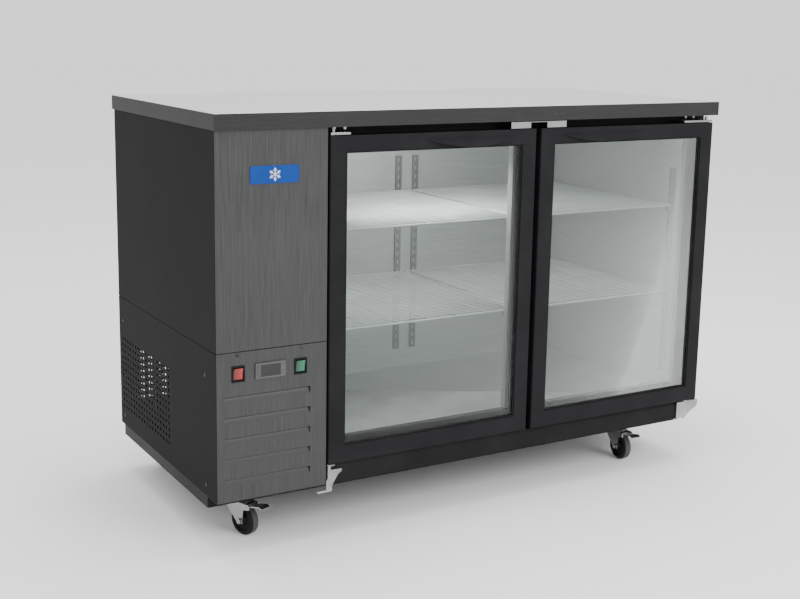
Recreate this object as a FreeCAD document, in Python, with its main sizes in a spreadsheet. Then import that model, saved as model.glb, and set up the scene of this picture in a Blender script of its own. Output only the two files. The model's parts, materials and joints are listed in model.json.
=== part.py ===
import FreeCAD, Part
import math
import os
import re
import Sketcher

# Two-door back bar cooler on casters, with the refrigeration unit in a compartment at the left end.
# Millimetres. +X runs along the front from left to right, +Y from front to back, +Z up.
# The origin is on the floor, under the middle of the whole outline.

document = FreeCAD.newDocument("back_bar_cooler")
sheet = document.addObject("Spreadsheet::Sheet", "sizes")

SIZES = {
    # overall
    "overall_width": 1468, "overall_depth": 714, "overall_height": 1021,
    "handle_reach": 12,
    # worktop
    "band_height": 37, "band_sheet": 1.5, "top_sheet": 1.2,
    "side_overhang": 3, "back_overhang": 9, "panel_setback": 10,
    # outer panels
    "panel_sheet": 1.2, "machine_width": 278, "seam_height": 485, "seam_gap": 1.6, "flange_depth": 40,
    # base and kick rail
    "base_height": 37, "base_setback": 88, "base_inset": 8, "channel_width": 120, "channel_sheet": 2,
    "channel_play": 12, "kick_height": 46, "kick_setback": 13.6, "kick_bevel": 12,
    "kick_end_inset": 36,
    # cold room
    "wall_foam": 59, "back_foam": 45, "ceiling_drop": 49, "floor_rise": 12, "sill_rise": 42,
    "liner_sheet": 0.8, "frame_plate": 12, "mullion_width": 89, "mullion_depth": 19, "plenum_foam": 32,
    "return_height": 40, "return_length": 200,
    # doors
    "door_setback": 5, "door_thickness": 36, "door_edge_gap": 4, "door_end_inset": 10, "door_gap": 15,
    "door_floor_gap": 4, "door_top_gap": 20, "stile_width": 41, "rail_width": 37, "sill_rail_width": 41.5,
    "corner_radius": 3, "glass_recess": 4, "pane": 4, "pane_space": 14, "spacer_width": 7,
    "glazing_grip": 8, "glazing_play": 0.5,
    "gasket_depth": 10, "gasket_play": 0.3, "gasket_width": 14, "gasket_inset": 16,
    # hinges and lock
    "pin_inset": 9.5, "pin_radius": 3.5, "pin_play": 0.05, "pin_engage": 18, "bracket_sheet": 5,
    "apron_sheet": 4, "bracket_play": 2, "upper_left_reach": 51, "upper_right_reach": 100,
    "bracket_margin": 8, "seat_sheet": 3, "seat_radius": 12,
    "tab_length": 27, "tab_width": 39, "tab_drop": 70,
    "lock_width": 60, "lock_spacing": 110, "lock_height": 14, "lock_sheet": 2,
    # handles
    "handle_length": 271, "handle_drop": 20, "handle_sheet": 2.6, "handle_top_gap": 14,
    "handle_left_inset": 54, "handle_right_inset": 66,
    # shelves
    "shelf_front_gap": 2.7, "shelf_back_gap": 11, "shelf_end_gap": 8, "shelf_split": 9,
    "upper_shelf_drop": 201, "lower_shelf_rise": 258, "rod_radius": 3, "wire_radius": 1.6,
    "wire_pitch": 15, "wire_margin": 16, "brace_count": 5, "strip_width": 20, "strip_depth": 5,
    "strip_inset": 4, "strip_spacing": 57, "strip_bottom_gap": 18, "strip_top_gap": 101,
    "clip_height": 14, "clip_depth": 14, "clip_side": 3,
    # louvres and vents
    "louvre_length": 220, "louvre_height": 18, "louvre_reach": 9, "louvre_pitch": 49,
    "louvre_drop": 103, "louvre_left": 20, "louvre_margin": 30,
    "vent_radius": 4.5, "vent_pitch": 20.5, "vent_rise": 17, "vent_columns": 19, "vent_rows": 12,
    "vent_front": 318, "vent_level": 49,
    "slot_height": 6, "slot_length": 180, "slot_pitch": 18, "slot_count": 14, "slot_inset": 50,
    "slot_level": 60,
    # controls
    "switch_width": 32, "switch_height": 38, "switch_drop": 70, "red_switch": 57, "green_switch": 213,
    "bezel_rim": 3.5, "bezel_reach": 2.5, "bezel_wall": 1.2, "bezel_play": 0.3, "rocker_play": 1,
    "rocker_tilt": 9, "rocker_depth": 15,
    "controller_width": 75, "controller_height": 36, "controller_middle": 136, "controller_drop": 68,
    "controller_reach": 4, "controller_depth": 45, "controller_lip": 3,
    "window_width": 50, "window_height": 28,
    "button_width": 6, "button_height": 9, "button_rise": 8, "button_play": 0.4, "button_reach": 1,
    "button_depth": 5,
    "badge_width": 120, "badge_height": 40, "badge_middle": 148, "badge_drop": 101, "badge_sheet": 2,
    "badge_corner": 6,
    # casters
    "wheel_radius": 37.5, "wheel_width": 24, "wheel_clear": 5.6, "hub_radius": 14, "hub_width": 28,
    "axle_radius": 4, "axle_play": 0.05, "axle_reach": 5, "nut_radius": 6.5,
    "fork_width": 36, "fork_sheet": 3, "fork_clear": 1, "trail": 30, "head_radius": 22,
    "king_radius": 5, "king_play": 0.05, "king_head": 9, "king_head_height": 4,
    "plate_size": 70, "plate_sheet": 3, "race_radius": 24, "race_height": 7.4,
    "left_caster": 107, "right_caster": 183, "front_caster": 145, "rear_caster": 92,
    "pedal_width": 29, "pedal_length": 48, "pedal_sheet": 3, "pedal_drop": 6.6, "pedal_pin": 2,
    "pedal_ahead": 22,
    # refrigeration
    "fan_radius": 75, "fan_depth": 22, "fan_hub": 16, "fan_clear": 4, "fan_root": 14,
    "shaft_radius": 3, "shaft_play": 0.05, "motor_radius": 28, "motor_length": 40, "motor_gap": 4,
    "motor_wing": 45, "fan_raise": 31.5, "fan_inset": 105, "fan_wall_gap": 34,
    "condenser_rise": 168, "condenser_setback": 260, "condenser_inset": 145, "condenser_fan_gap": 45,
    "coil_width": 60, "coil_length": 250, "coil_floor_gap": 12, "coil_top_gap": 60, "coil_margin": 40,
    "coil_wall_gap": 25, "coil_rise": 50, "fin_pitch": 9, "fin_sheet": 1.5, "coil_tube": 4,
    "compressor_radius": 62, "compressor_height": 150, "compressor_inset": 150, "compressor_back": 200,
    "relay_depth": 28, "relay_width": 60, "foot_width": 150, "foot_depth": 120,
    "tube_radius": 4.5, "tube_bend": 18, "discharge_rise": 60, "discharge_drop": 123,
    "suction_rise": 70, "suction_inset": 30, "riser_gap": 38,
    "pan_inset": 20, "pan_width": 110, "pan_back_gap": 50, "pan_depth": 70, "pan_height": 45,
    "pan_sheet": 1.5,
    "gland_radius": 9, "gland_collar": 12, "gland_bore": 4.5, "gland_inset": 60, "gland_rise": 25,
    "gland_depth": 22, "collar_reach": 6,
    "lamp_inset": 60, "lamp_setback": 12, "lamp_width": 22, "lamp_height": 12,
    "screw_radius": 4.5, "screw_head": 1.5, "screw_drop": 8, "left_screw": 55, "right_screw": 216,
    "side_screw_front": 74, "side_screw_back": 33, "side_screw_drop": 62, "side_screw_rise": 28,
}

for row, (alias, amount) in enumerate(SIZES.items(), start=1):
    sheet.set(f"A{row}", alias)
    sheet.set(f"B{row}", str(amount))
    sheet.setAlias(f"B{row}", alias)
document.recompute()

# Places that several pieces share, worked out from the driving sizes.
PLACES = {
    "left_end": "-overall_width / 2",
    "right_end": "overall_width / 2",
    "top_front": "-overall_depth / 2 + handle_reach",
    "top_back": "overall_depth / 2",
    "band_bottom": "overall_height - band_height",
    "body_left": "left_end + side_overhang",
    "body_right": "right_end - side_overhang",
    "body_front": "top_front + panel_setback",
    "body_back": "top_back - back_overhang",
    "skin_left": "body_left + panel_sheet",
    "skin_right": "body_right - panel_sheet",
    "skin_back": "body_back - panel_sheet",
    "machine_right": "body_left + machine_width",
    "fork_top": "2 * wheel_radius + wheel_clear + fork_sheet",
    "base_bottom": "fork_top + fork_clear + race_height + plate_sheet",
    "panel_bottom": "base_bottom + base_height",
    "deck_bottom": "panel_bottom - channel_sheet",
    "kick_top": "panel_bottom + kick_height",
    "base_front": "top_front + base_setback",
    "kick_front": "top_front + kick_setback",
    "door_front": "top_front + door_setback",
    "door_back": "door_front + door_thickness",
    "door_bottom": "kick_top + door_floor_gap",
    "door_top": "band_bottom - door_top_gap",
    "seal_plane": "door_back + gasket_depth + gasket_play",
    "frame_back": "seal_plane + frame_plate",
    "room_left": "machine_right + wall_foam + 2",
    "room_right": "body_right - wall_foam - 3",
    "room_back": "body_back - back_foam",
    "room_floor": "kick_top + floor_rise",
    "room_ceiling": "band_bottom - ceiling_drop",
    "sill_height": "room_floor + sill_rise",
    "doors_left": "machine_right + door_edge_gap",
    "doors_right": "body_right - door_end_inset",
    "door_width": "(doors_right - doors_left - door_gap) / 2",
    "door_middle": "(doors_right + doors_left) / 2",
    "kick_right": "doors_right - kick_end_inset",
    "pin_line": "door_front + pin_inset",
    "glass_front": "door_front + glass_recess",
    "opening_bottom": "door_bottom + sill_rail_width",
    "opening_top": "door_top - rail_width",
    "plenum_floor": "seam_height + 5",
    "mullion_left": "door_middle - mullion_width / 2",
    "mullion_right": "door_middle + mullion_width / 2",
    "mullion_back": "seal_plane + mullion_depth",
    "shelf_front_edge": "mullion_back + strip_depth + shelf_front_gap",
    "shelf_back_edge": "room_back - shelf_back_gap",
    "upper_shelf": "room_ceiling - upper_shelf_drop",
    "lower_shelf": "sill_height + lower_shelf_rise",
    "strip_step": "strip_spacing / 2",
    "strip_bottom": "sill_height + strip_bottom_gap",
    "strip_top": "room_ceiling - strip_top_gap",
    "louvre_top": "seam_height - louvre_drop",
    "switch_low": "seam_height - switch_drop",
    "controller_low": "seam_height - controller_drop",
    "vent_bottom": "panel_bottom + vent_level",
    "badge_level": "band_bottom - badge_drop",
    "pedal_pivot": "fork_top - pedal_drop",
    "fan_line": "room_back - fan_inset",
    "fan_level": "(plenum_floor + plenum_foam + room_ceiling) / 2 + fan_raise",
    "condenser_line": "body_front + condenser_setback",
    "condenser_level": "panel_bottom + condenser_rise",
    "condenser_left": "body_left + condenser_inset",
    "condenser_end": "condenser_line + coil_length / 2",
    "compressor_x": "body_left + compressor_inset",
    "compressor_y": "skin_back - compressor_back",
    "handle_stand": "(handle_reach + door_setback)",
    "gland_x": "body_left + gland_inset",
    "gland_z": "panel_bottom + gland_rise",
}


def formula(text):
    """Write out a place or a sum as an expression on the spreadsheet's cells."""
    def write_out(match):
        word = match.group(0)
        if word in PLACES:
            return "(" + formula(PLACES[word]) + ")"
        if word in SIZES:
            return "sizes." + word
        return word
    return re.sub(r"[a-z_]+", write_out, str(text))


def amount_of(text):
    return float(sheet.evalExpression(formula(text)))


def bind(thing, **properties):
    for path, text in properties.items():
        thing.setExpression(path.replace("__", "."), formula(text))


def move(thing, x="0", y="0", z="0"):
    bind(thing, Placement__Base__x=x, Placement__Base__y=y, Placement__Base__z=z)


# ---- plain solids -------------------------------------------------------------------------------

def box(name, x, y, z):
    """A block between two expressions along each axis."""
    block = document.addObject("Part::Box", name)
    bind(block, Length=f"({x[1]}) - ({x[0]})", Width=f"({y[1]}) - ({y[0]})", Height=f"({z[1]}) - ({z[0]})")
    move(block, x[0], y[0], z[0])
    return block


TURNS = {
    "x": FreeCAD.Rotation(FreeCAD.Vector(0, 1, 0), 90),
    "y": FreeCAD.Rotation(FreeCAD.Vector(1, 0, 0), -90),
    "z": FreeCAD.Rotation(),
}


def rod(name, axis, radius, start, end, across):
    """A cylinder along one axis, from start to end, at the two other coordinates."""
    cylinder = document.addObject("Part::Cylinder", name)
    bind(cylinder, Radius=radius, Height=f"({end}) - ({start})")
    cylinder.Placement = FreeCAD.Placement(FreeCAD.Vector(), TURNS[axis])
    if axis == "x":
        move(cylinder, start, across[0], across[1])
    elif axis == "y":
        move(cylinder, across[0], start, across[1])
    else:
        move(cylinder, across[0], across[1], start)
    return cylinder


def cut(name, base, *tools):
    result = document.addObject("Part::Cut", name)
    result.Base = base
    result.Tool = tools[0] if len(tools) == 1 else group(name + "_tools", tools)
    return result


def fuse(name, pieces):
    result = document.addObject("Part::MultiFuse", name)
    result.Shapes = list(pieces)
    result.Refine = True
    return result


def group(name, pieces):
    result = document.addObject("Part::Compound", name)
    result.Links = list(pieces)
    return result


# ---- bodies built from sketches -----------------------------------------------------------------

def sketch_on(body, name, role, offset="0"):
    """A sketch on one of the body's own origin planes, shifted along that plane's normal."""
    sketch = body.newObject("Sketcher::SketchObject", name)
    plane = next(feature for feature in body.Origin.OriginFeatures if feature.Role == role)
    sketch.AttachmentSupport = [(plane, "")]
    sketch.MapMode = "FlatFace"
    bind(sketch, AttachmentOffset__Base__z=offset)
    return sketch


def pin_point(sketch, curve, point, x, y):
    """Dimension one point of a curve from the sketch's origin."""
    for kind, text in (("DistanceX", x), ("DistanceY", y)):
        constraint = Sketcher.Constraint(kind, -1, 1, curve, point, amount_of(text))
        index = sketch.addConstraint(constraint)
        sketch.setExpression(f"Constraints[{index}]", formula(text))


def draw_outline(sketch, points):
    """A closed outline through points given as pairs of expressions."""
    first = sketch.GeometryCount
    corners = [FreeCAD.Vector(amount_of(x), amount_of(y), 0) for x, y in points]
    total = len(corners)
    for index in range(total):
        sketch.addGeometry(Part.LineSegment(corners[index], corners[(index + 1) % total]))
    for index in range(total):
        following = first + (index + 1) % total
        sketch.addConstraint(Sketcher.Constraint("Coincident", first + index, 2, following, 1))
    for index, (x, y) in enumerate(points):
        pin_point(sketch, first + index, 1, x, y)


def draw_rectangle(sketch, x, y):
    draw_outline(sketch, [(x[0], y[0]), (x[1], y[0]), (x[1], y[1]), (x[0], y[1])])


def draw_circle(sketch, radius, x, y):
    centre = FreeCAD.Vector(amount_of(x), amount_of(y), 0)
    curve = sketch.addGeometry(Part.Circle(centre, FreeCAD.Vector(0, 0, 1), amount_of(radius)))
    pin_point(sketch, curve, 3, x, y)
    index = sketch.addConstraint(Sketcher.Constraint("Radius", curve, amount_of(radius)))
    sketch.setExpression(f"Constraints[{index}]", formula(radius))


def pad(body, sketch, length, backwards=False, both_ways=False):
    feature = body.newObject("PartDesign::Pad", sketch.Name + "_pad")
    feature.Profile = sketch
    feature.Reversed = backwards
    feature.Midplane = both_ways
    bind(feature, Length=length)
    document.recompute()
    return feature


def pocket(body, sketch, length, backwards=False, both_ways=False):
    """A pocket that must take something away."""
    before = body.Shape.Volume
    feature = body.newObject("PartDesign::Pocket", sketch.Name + "_pocket")
    feature.Profile = sketch
    feature.Reversed = backwards
    feature.Midplane = both_ways
    bind(feature, Length=length)
    document.recompute()
    if body.Shape.Volume > before - 1e-3:
        raise RuntimeError(f"{feature.Name} cuts nothing")
    return feature


def repeat(body, features, sketch, axis, step, count, backwards=False):
    """Repeat features along one axis of a sketch."""
    pattern = body.newObject("PartDesign::LinearPattern", features[-1].Name + "_row")
    pattern.Originals = list(features)
    pattern.Direction = (sketch, [axis])
    pattern.Reversed = backwards
    bind(pattern, Length=f"({step}) * (({count}) - 1)", Occurrences=count)
    body.Tip = pattern
    document.recompute()
    return pattern


def round_edges(body, radius, test):
    """Fillet the edges whose middle and direction pass the test."""
    names = []
    for index, edge in enumerate(body.Shape.Edges, start=1):
        middle = edge.valueAt((edge.FirstParameter + edge.LastParameter) / 2)
        direction = edge.tangentAt(edge.FirstParameter)
        if test(middle, direction):
            names.append(f"Edge{index}")
    base_feature = body.Tip
    feature = body.newObject("PartDesign::Fillet", body.Name + "_fillet")
    feature.Base = (base_feature, names)
    bind(feature, Radius=radius)
    document.recompute()
    return feature


def new_body(name):
    return document.addObject("PartDesign::Body", name)


nodes = {}


def node(name, piece):
    """Register a finished sub-part under the name of its file."""
    piece.Label = name
    nodes[name] = piece
    return piece


# ---- worktop ------------------------------------------------------------------------------------

def worktop():
    node("worktop_sheet", box(
        "worktop_sheet", ("left_end", "right_end"), ("top_front", "top_back"),
        ("overall_height - top_sheet", "overall_height")))
    band = new_body("worktop_band")
    outline = sketch_on(band, "band_outline", "XY_Plane", "band_bottom")
    draw_rectangle(outline, ("left_end", "right_end"), ("top_front", "top_back"))
    draw_rectangle(outline, ("left_end + band_sheet", "right_end - band_sheet"),
                   ("top_front + band_sheet", "top_back - band_sheet"))
    pad(band, outline, "band_height - top_sheet")
    node("worktop_band", band)


# ---- outer panels -------------------------------------------------------------------------------

def front_panel(name, bottom, top):
    """A front sheet of the machine compartment, with a flange that turns back beside the doors."""
    body = new_body(name)
    profile = sketch_on(body, name + "_profile", "XY_Plane", bottom)
    draw_outline(profile, [
        ("skin_left", "body_front"),
        ("machine_right", "body_front"),
        ("machine_right", "body_front + flange_depth"),
        ("machine_right - panel_sheet", "body_front + flange_depth"),
        ("machine_right - panel_sheet", "body_front + panel_sheet"),
        ("skin_left", "body_front + panel_sheet"),
    ])
    pad(body, profile, f"({top}) - ({bottom})")
    return body


def service_panel():
    """The lower front sheet, with the holes for the controls and louvres that are pressed inwards."""
    body = front_panel("service_panel", "panel_bottom", "seam_height - seam_gap / 2")
    holes = sketch_on(body, "control_holes", "XZ_Plane", "-body_front + panel_sheet")
    rim = "(bezel_rim - bezel_wall - bezel_play)"
    for middle in ("red_switch", "green_switch"):
        draw_rectangle(
            holes,
            inset((f"left_end + {middle} - switch_width / 2",
                   f"left_end + {middle} + switch_width / 2"), rim),
            (f"switch_low + {rim}", f"switch_low + switch_height - {rim}"))
    case = inset(("left_end + controller_middle - controller_width / 2",
                  "left_end + controller_middle + controller_width / 2"), "controller_lip - bezel_play")
    draw_rectangle(holes, case, inset(("controller_low", "controller_low + controller_height"),
                                      "controller_lip - bezel_play"))
    pocket(body, holes, "panel_sheet * 3")
    start = "left_end + louvre_left"
    window = sketch_on(body, "louvre_window", "XZ_Plane", "-body_front")
    draw_rectangle(window, (start, f"{start} + louvre_length"), ("louvre_top - louvre_height", "louvre_top"))
    window_cut = pocket(body, window, "panel_sheet")
    blade = sketch_on(body, "louvre_blade", "YZ_Plane", start)
    lip = ("body_front + louvre_reach", "louvre_top")
    draw_outline(blade, [
        ("body_front", "louvre_top - louvre_height - panel_sheet"),
        ("body_front", "louvre_top - louvre_height"),
        lip,
        (f"{lip[0]} + panel_sheet", lip[1]),
        ("body_front + panel_sheet", "louvre_top - louvre_height - panel_sheet"),
    ])
    blade_pad = pad(body, blade, "louvre_length")
    features = [window_cut, blade_pad]
    ends = {"louvre_left_end": start, "louvre_right_end": f"{start} + louvre_length - panel_sheet"}
    for name, place in ends.items():
        end = sketch_on(body, name, "YZ_Plane", place)
        draw_outline(end, [("body_front", "louvre_top - louvre_height"), ("body_front", "louvre_top"), lip])
        features.append(pad(body, end, "panel_sheet"))
    fall = amount_of("louvre_top - louvre_height - louvre_margin - panel_bottom")
    count = math.floor(fall / amount_of("louvre_pitch")) + 1
    repeat(body, features, window, "V_Axis", "louvre_pitch", str(count), backwards=True)
    node("service_panel", body)


def vent_panel():
    body = new_body("left_vent_panel")
    sheet_face = sketch_on(body, "vent_panel_outline", "YZ_Plane", "body_left")
    draw_rectangle(sheet_face, ("body_front", "body_back"), ("panel_bottom", "seam_height - seam_gap / 2"))
    pad(body, sheet_face, "panel_sheet")
    column = sketch_on(body, "vent_column", "YZ_Plane", "body_left + panel_sheet / 2")
    for index in range(int(amount_of("vent_rows"))):
        draw_circle(column, "vent_radius", "top_front + vent_front",
                    f"vent_bottom + vent_radius + vent_rise * {index}")
    holes = pocket(body, column, "panel_sheet * 3", both_ways=True)
    repeat(body, [holes], column, "H_Axis", "vent_pitch", "vent_columns")
    node("left_vent_panel", body)


def rear_panel():
    body = new_body("back_panel")
    outline = sketch_on(body, "back_outline", "XZ_Plane", "-body_back")
    draw_rectangle(outline, ("skin_left", "skin_right"), ("panel_bottom", "band_bottom"))
    pad(body, outline, "panel_sheet")
    slot = sketch_on(body, "back_slot", "XZ_Plane", "-body_back + panel_sheet / 2")
    draw_rectangle(slot, ("body_left + slot_inset", "body_left + slot_inset + slot_length"),
                   ("panel_bottom + slot_level", "panel_bottom + slot_level + slot_height"))
    slot_cut = pocket(body, slot, "panel_sheet * 3", both_ways=True)
    repeat(body, [slot_cut], slot, "V_Axis", "slot_pitch", "slot_count")
    gland_hole = sketch_on(body, "gland_hole", "XZ_Plane", "-body_back + panel_sheet / 2")
    draw_circle(gland_hole, "gland_radius", "gland_x", "gland_z")
    pocket(body, gland_hole, "panel_sheet * 3", both_ways=True)
    node("back_panel", body)


def panels():
    node("front_upper_panel", front_panel("front_upper_panel", "seam_height + seam_gap / 2", "band_bottom"))
    service_panel()
    vent_panel()
    node("left_upper_panel", box(
        "left_upper_panel", ("body_left", "skin_left"), ("body_front", "body_back"),
        ("seam_height + seam_gap / 2", "band_bottom")))
    side = new_body("right_side_panel")
    outline = sketch_on(side, "right_side_outline", "YZ_Plane", "skin_right")
    draw_outline(outline, [
        ("frame_back - panel_sheet", "panel_bottom"), ("frame_back - panel_sheet", "kick_top"),
        ("seal_plane", "kick_top"), ("seal_plane", "band_bottom"), ("body_back", "band_bottom"),
        ("body_back", "panel_bottom"),
    ])
    pad(side, outline, "panel_sheet")
    corner = sketch_on(side, "right_side_return", "XY_Plane", "panel_bottom")
    draw_rectangle(corner, ("kick_right", "skin_right"), ("frame_back - panel_sheet", "frame_back"))
    pad(side, corner, "kick_top - panel_bottom")
    node("right_side_panel", side)
    rear_panel()
    badge = new_body("badge_plate")
    plate = sketch_on(badge, "badge_outline", "XZ_Plane", "-body_front")
    middle = "left_end + badge_middle"
    draw_rectangle(plate, (f"{middle} - badge_width / 2", f"{middle} + badge_width / 2"),
                   ("badge_level - badge_height / 2", "badge_level + badge_height / 2"))
    pad(badge, plate, "badge_sheet")
    round_edges(badge, "badge_corner", lambda middle, direction: abs(direction.y) > 0.9)
    node("badge_plate", badge)


# ---- base, kick rail and face frame -------------------------------------------------------------

def channel(name, front, back):
    """A base rail: a channel that is open upwards, under the deck."""
    body = new_body(name)
    profile = sketch_on(body, name + "_profile", "YZ_Plane", "body_left + base_inset + channel_play")
    draw_outline(profile, [
        (front, "base_bottom"),
        (back, "base_bottom"),
        (back, "deck_bottom"),
        (f"({back}) - channel_sheet", "deck_bottom"),
        (f"({back}) - channel_sheet", "base_bottom + channel_sheet"),
        (f"({front}) + channel_sheet", "base_bottom + channel_sheet"),
        (f"({front}) + channel_sheet", "deck_bottom"),
        (front, "deck_bottom"),
    ])
    pad(body, profile, "body_right - body_left - 2 * (base_inset + channel_play)")
    return body


def base():
    """The deck, the two channels under it, the end plates and the corner pieces that close the front."""
    deck_height = ("deck_bottom", "panel_bottom")
    pieces = [
        box("base_deck", ("skin_left", "skin_right"), ("base_front", "skin_back"), deck_height),
        box("machine_deck", ("skin_left", "machine_right - panel_sheet"),
            ("body_front + panel_sheet", "base_front"), deck_height),
        channel("front_channel", "base_front", "base_front + channel_width"),
        channel("rear_channel", "skin_back - channel_width", "skin_back"),
    ]
    wall_height = ("base_bottom", "deck_bottom")
    left = "body_left + base_inset"
    right = "body_right - base_inset"
    plates = {"left_end_plate": (left, f"{left} + channel_sheet"),
              "right_end_plate": (f"{right} - channel_sheet", right)}
    ties = {"left_tie": (left, f"{left} + channel_play"), "right_tie": (f"{right} - channel_play", right)}
    for name, x in plates.items():
        pieces.append(box(name, x, ("base_front", "skin_back"), wall_height))
    for name, x in ties.items():
        pieces.append(box(name, x, ("base_front", "base_front + channel_sheet"), wall_height))
    node("base_frame", fuse("base_frame", pieces))


def kick_rail():
    body = new_body("kick_rail")
    profile = sketch_on(body, "kick_profile", "YZ_Plane", "machine_right")
    draw_outline(profile, [
        ("base_front", "deck_bottom"),
        ("kick_front", "deck_bottom"),
        ("kick_front", "kick_top - kick_bevel"),
        ("kick_front + kick_bevel / 2", "kick_top"),
        ("frame_back", "kick_top"),
        ("frame_back", "kick_top - panel_sheet"),
        ("kick_front + kick_bevel / 2 + panel_sheet / 2", "kick_top - panel_sheet"),
        ("kick_front + panel_sheet", "kick_top - kick_bevel - panel_sheet / 2"),
        ("kick_front + panel_sheet", "panel_bottom"),
        ("base_front", "panel_bottom"),
    ])
    pad(body, profile, "kick_right - machine_right")
    node("kick_rail", body)


def face_frame():
    body = new_body("face_frame")
    outline = sketch_on(body, "face_outline", "XZ_Plane", "-seal_plane")
    draw_rectangle(outline, ("machine_right", "skin_right"), ("kick_top", "band_bottom"))
    draw_rectangle(outline, ("room_left", "room_right"), ("sill_height", "room_ceiling"))
    pad(body, outline, "frame_plate", backwards=True)
    node("face_frame", body)


# ---- cold room ----------------------------------------------------------------------------------

def insulation():
    """Foam slabs between the liner and the outer panels, each a plain block."""
    room = ("room_left - liner_sheet", "room_right + liner_sheet")
    floor_top = "room_floor - liner_sheet"
    ceiling = "room_ceiling + liner_sheet"
    depth = ("frame_back", "skin_back")
    slabs = {
        "worktop_core": (("left_end + band_sheet", "right_end - band_sheet"),
                         ("top_front + band_sheet", "top_back - band_sheet"),
                         ("band_bottom", "overall_height - top_sheet")),
        "ceiling_foam": (("skin_left", "skin_right"), depth, (ceiling, "band_bottom")),
        "floor_foam": (("machine_right", "skin_right"), depth, ("panel_bottom", floor_top)),
        "right_foam": ((room[1], "skin_right"), depth, (floor_top, ceiling)),
        "back_foam_slab": (room, ("room_back + liner_sheet", "skin_back"), (floor_top, ceiling)),
        "partition_foam": (("machine_right", room[0]), depth, (floor_top, "plenum_floor")),
        "plenum_floor_foam": (("skin_left", room[0]), depth, ("plenum_floor", "plenum_floor + plenum_foam")),
        "plenum_left_foam": (("skin_left", "skin_left + plenum_foam"), depth,
                             ("plenum_floor + plenum_foam", ceiling)),
        "plenum_back_foam": (("skin_left + plenum_foam", room[0]), ("room_back + liner_sheet", "skin_back"),
                             ("plenum_floor + plenum_foam", ceiling)),
        "plenum_front_foam": (("skin_left", "machine_right - panel_sheet"),
                              ("body_front + panel_sheet", "frame_back"), ("plenum_floor", "band_bottom")),
        "mullion_foam": (("mullion_left + liner_sheet", "mullion_right - liner_sheet"),
                         ("seal_plane + liner_sheet", "mullion_back - liner_sheet"),
                         ("sill_height", "room_ceiling")),
    }
    node("insulation", group("insulation", [box(name, *sides) for name, sides in slabs.items()]))


def liner():
    """The stainless sheets that line the cold room, and the cover of the post between the doors."""
    outside = ("room_left - liner_sheet", "room_right + liner_sheet")
    depth = ("frame_back", "room_back")
    height = ("room_floor", "room_ceiling")
    left_sheet = box("liner_left_sheet", (outside[0], "room_left"), depth, height)
    through = ("room_left - 5", "room_left + 5")
    fan_hole = rod("fan_hole", "x", "fan_radius + fan_clear", *through, ("fan_line", "fan_level"))
    slot_bottom = "plenum_floor + plenum_foam + 15"
    return_slot = box("return_slot", through, ("frame_back + 60", "frame_back + 60 + return_length"),
                      (slot_bottom, f"{slot_bottom} + return_height"))
    post = box("post_outside", ("mullion_left", "mullion_right"), ("seal_plane", "mullion_back"),
               ("sill_height", "room_ceiling"))
    core = box("post_inside", ("mullion_left + liner_sheet", "mullion_right - liner_sheet"),
               ("seal_plane + liner_sheet", "mullion_back - liner_sheet"), ("sill_height", "room_ceiling"))
    node("inner_liner", group("inner_liner", [
        cut("liner_left", left_sheet, fan_hole, return_slot),
        box("liner_right", ("room_right", outside[1]), depth, height),
        box("liner_back", outside, ("room_back", "room_back + liner_sheet"), height),
        box("liner_floor", outside, ("frame_back", "room_back + liner_sheet"),
            ("room_floor - liner_sheet", "room_floor")),
        box("liner_ceiling", outside, ("frame_back", "room_back + liner_sheet"),
            ("room_ceiling", "room_ceiling + liner_sheet")),
        cut("post_cover", post, core),
    ]))


STRIP_PLACES = {
    "left_rear": ("room_left + strip_inset", "room_back - strip_depth"),
    "middle_rear_left": ("door_middle - strip_step - strip_width / 2", "room_back - strip_depth"),
    "middle_rear_right": ("door_middle + strip_step - strip_width / 2", "room_back - strip_depth"),
    "right_rear": ("room_right - strip_inset - strip_width", "room_back - strip_depth"),
    "middle_front_left": ("door_middle - strip_step - strip_width / 2", "mullion_back"),
    "middle_front_right": ("door_middle + strip_step - strip_width / 2", "mullion_back"),
}


def shelf_supports():
    """Slotted strips on the walls and on the post, and the clips that carry the shelves."""
    pieces = []
    for name, (x, y) in STRIP_PLACES.items():
        pieces.append(box(name + "_strip", (x, f"{x} + strip_width"), (y, f"{y} + strip_depth"),
                          ("strip_bottom", "strip_top")))
    side_line = "shelf_front_edge + strip_inset"
    pieces.append(box("left_front_strip", ("room_left", "room_left + strip_depth"),
                      (side_line, f"{side_line} + strip_width"), ("strip_bottom", "strip_top")))
    pieces.append(box("right_front_strip", ("room_right - strip_depth", "room_right"),
                      (side_line, f"{side_line} + strip_width"), ("strip_bottom", "strip_top")))
    for level in ("upper_shelf", "lower_shelf"):
        height = (f"{level} - 2 * rod_radius - clip_height", f"{level} - 2 * rod_radius")
        for name, (x, y) in STRIP_PLACES.items():
            if name.endswith("front_left") or name.endswith("front_right"):
                depth = (f"{y} + strip_depth", f"{y} + strip_depth + clip_depth")
            else:
                depth = (f"{y} - clip_depth", y)
            width = inset((x, f"{x} + strip_width"), "clip_side")
            pieces.append(box(f"{name}_{level}_clip", width, depth, height))
        for name, wall in (("left", ("room_left + strip_depth", "room_left + strip_depth + clip_depth")),
                           ("right", ("room_right - strip_depth - clip_depth", "room_right - strip_depth"))):
            pieces.append(box(f"{name}_front_{level}_clip", wall,
                              inset((side_line, f"{side_line} + strip_width"), "clip_side"), height))
    node("shelf_supports", group("shelf_supports", pieces))


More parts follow.
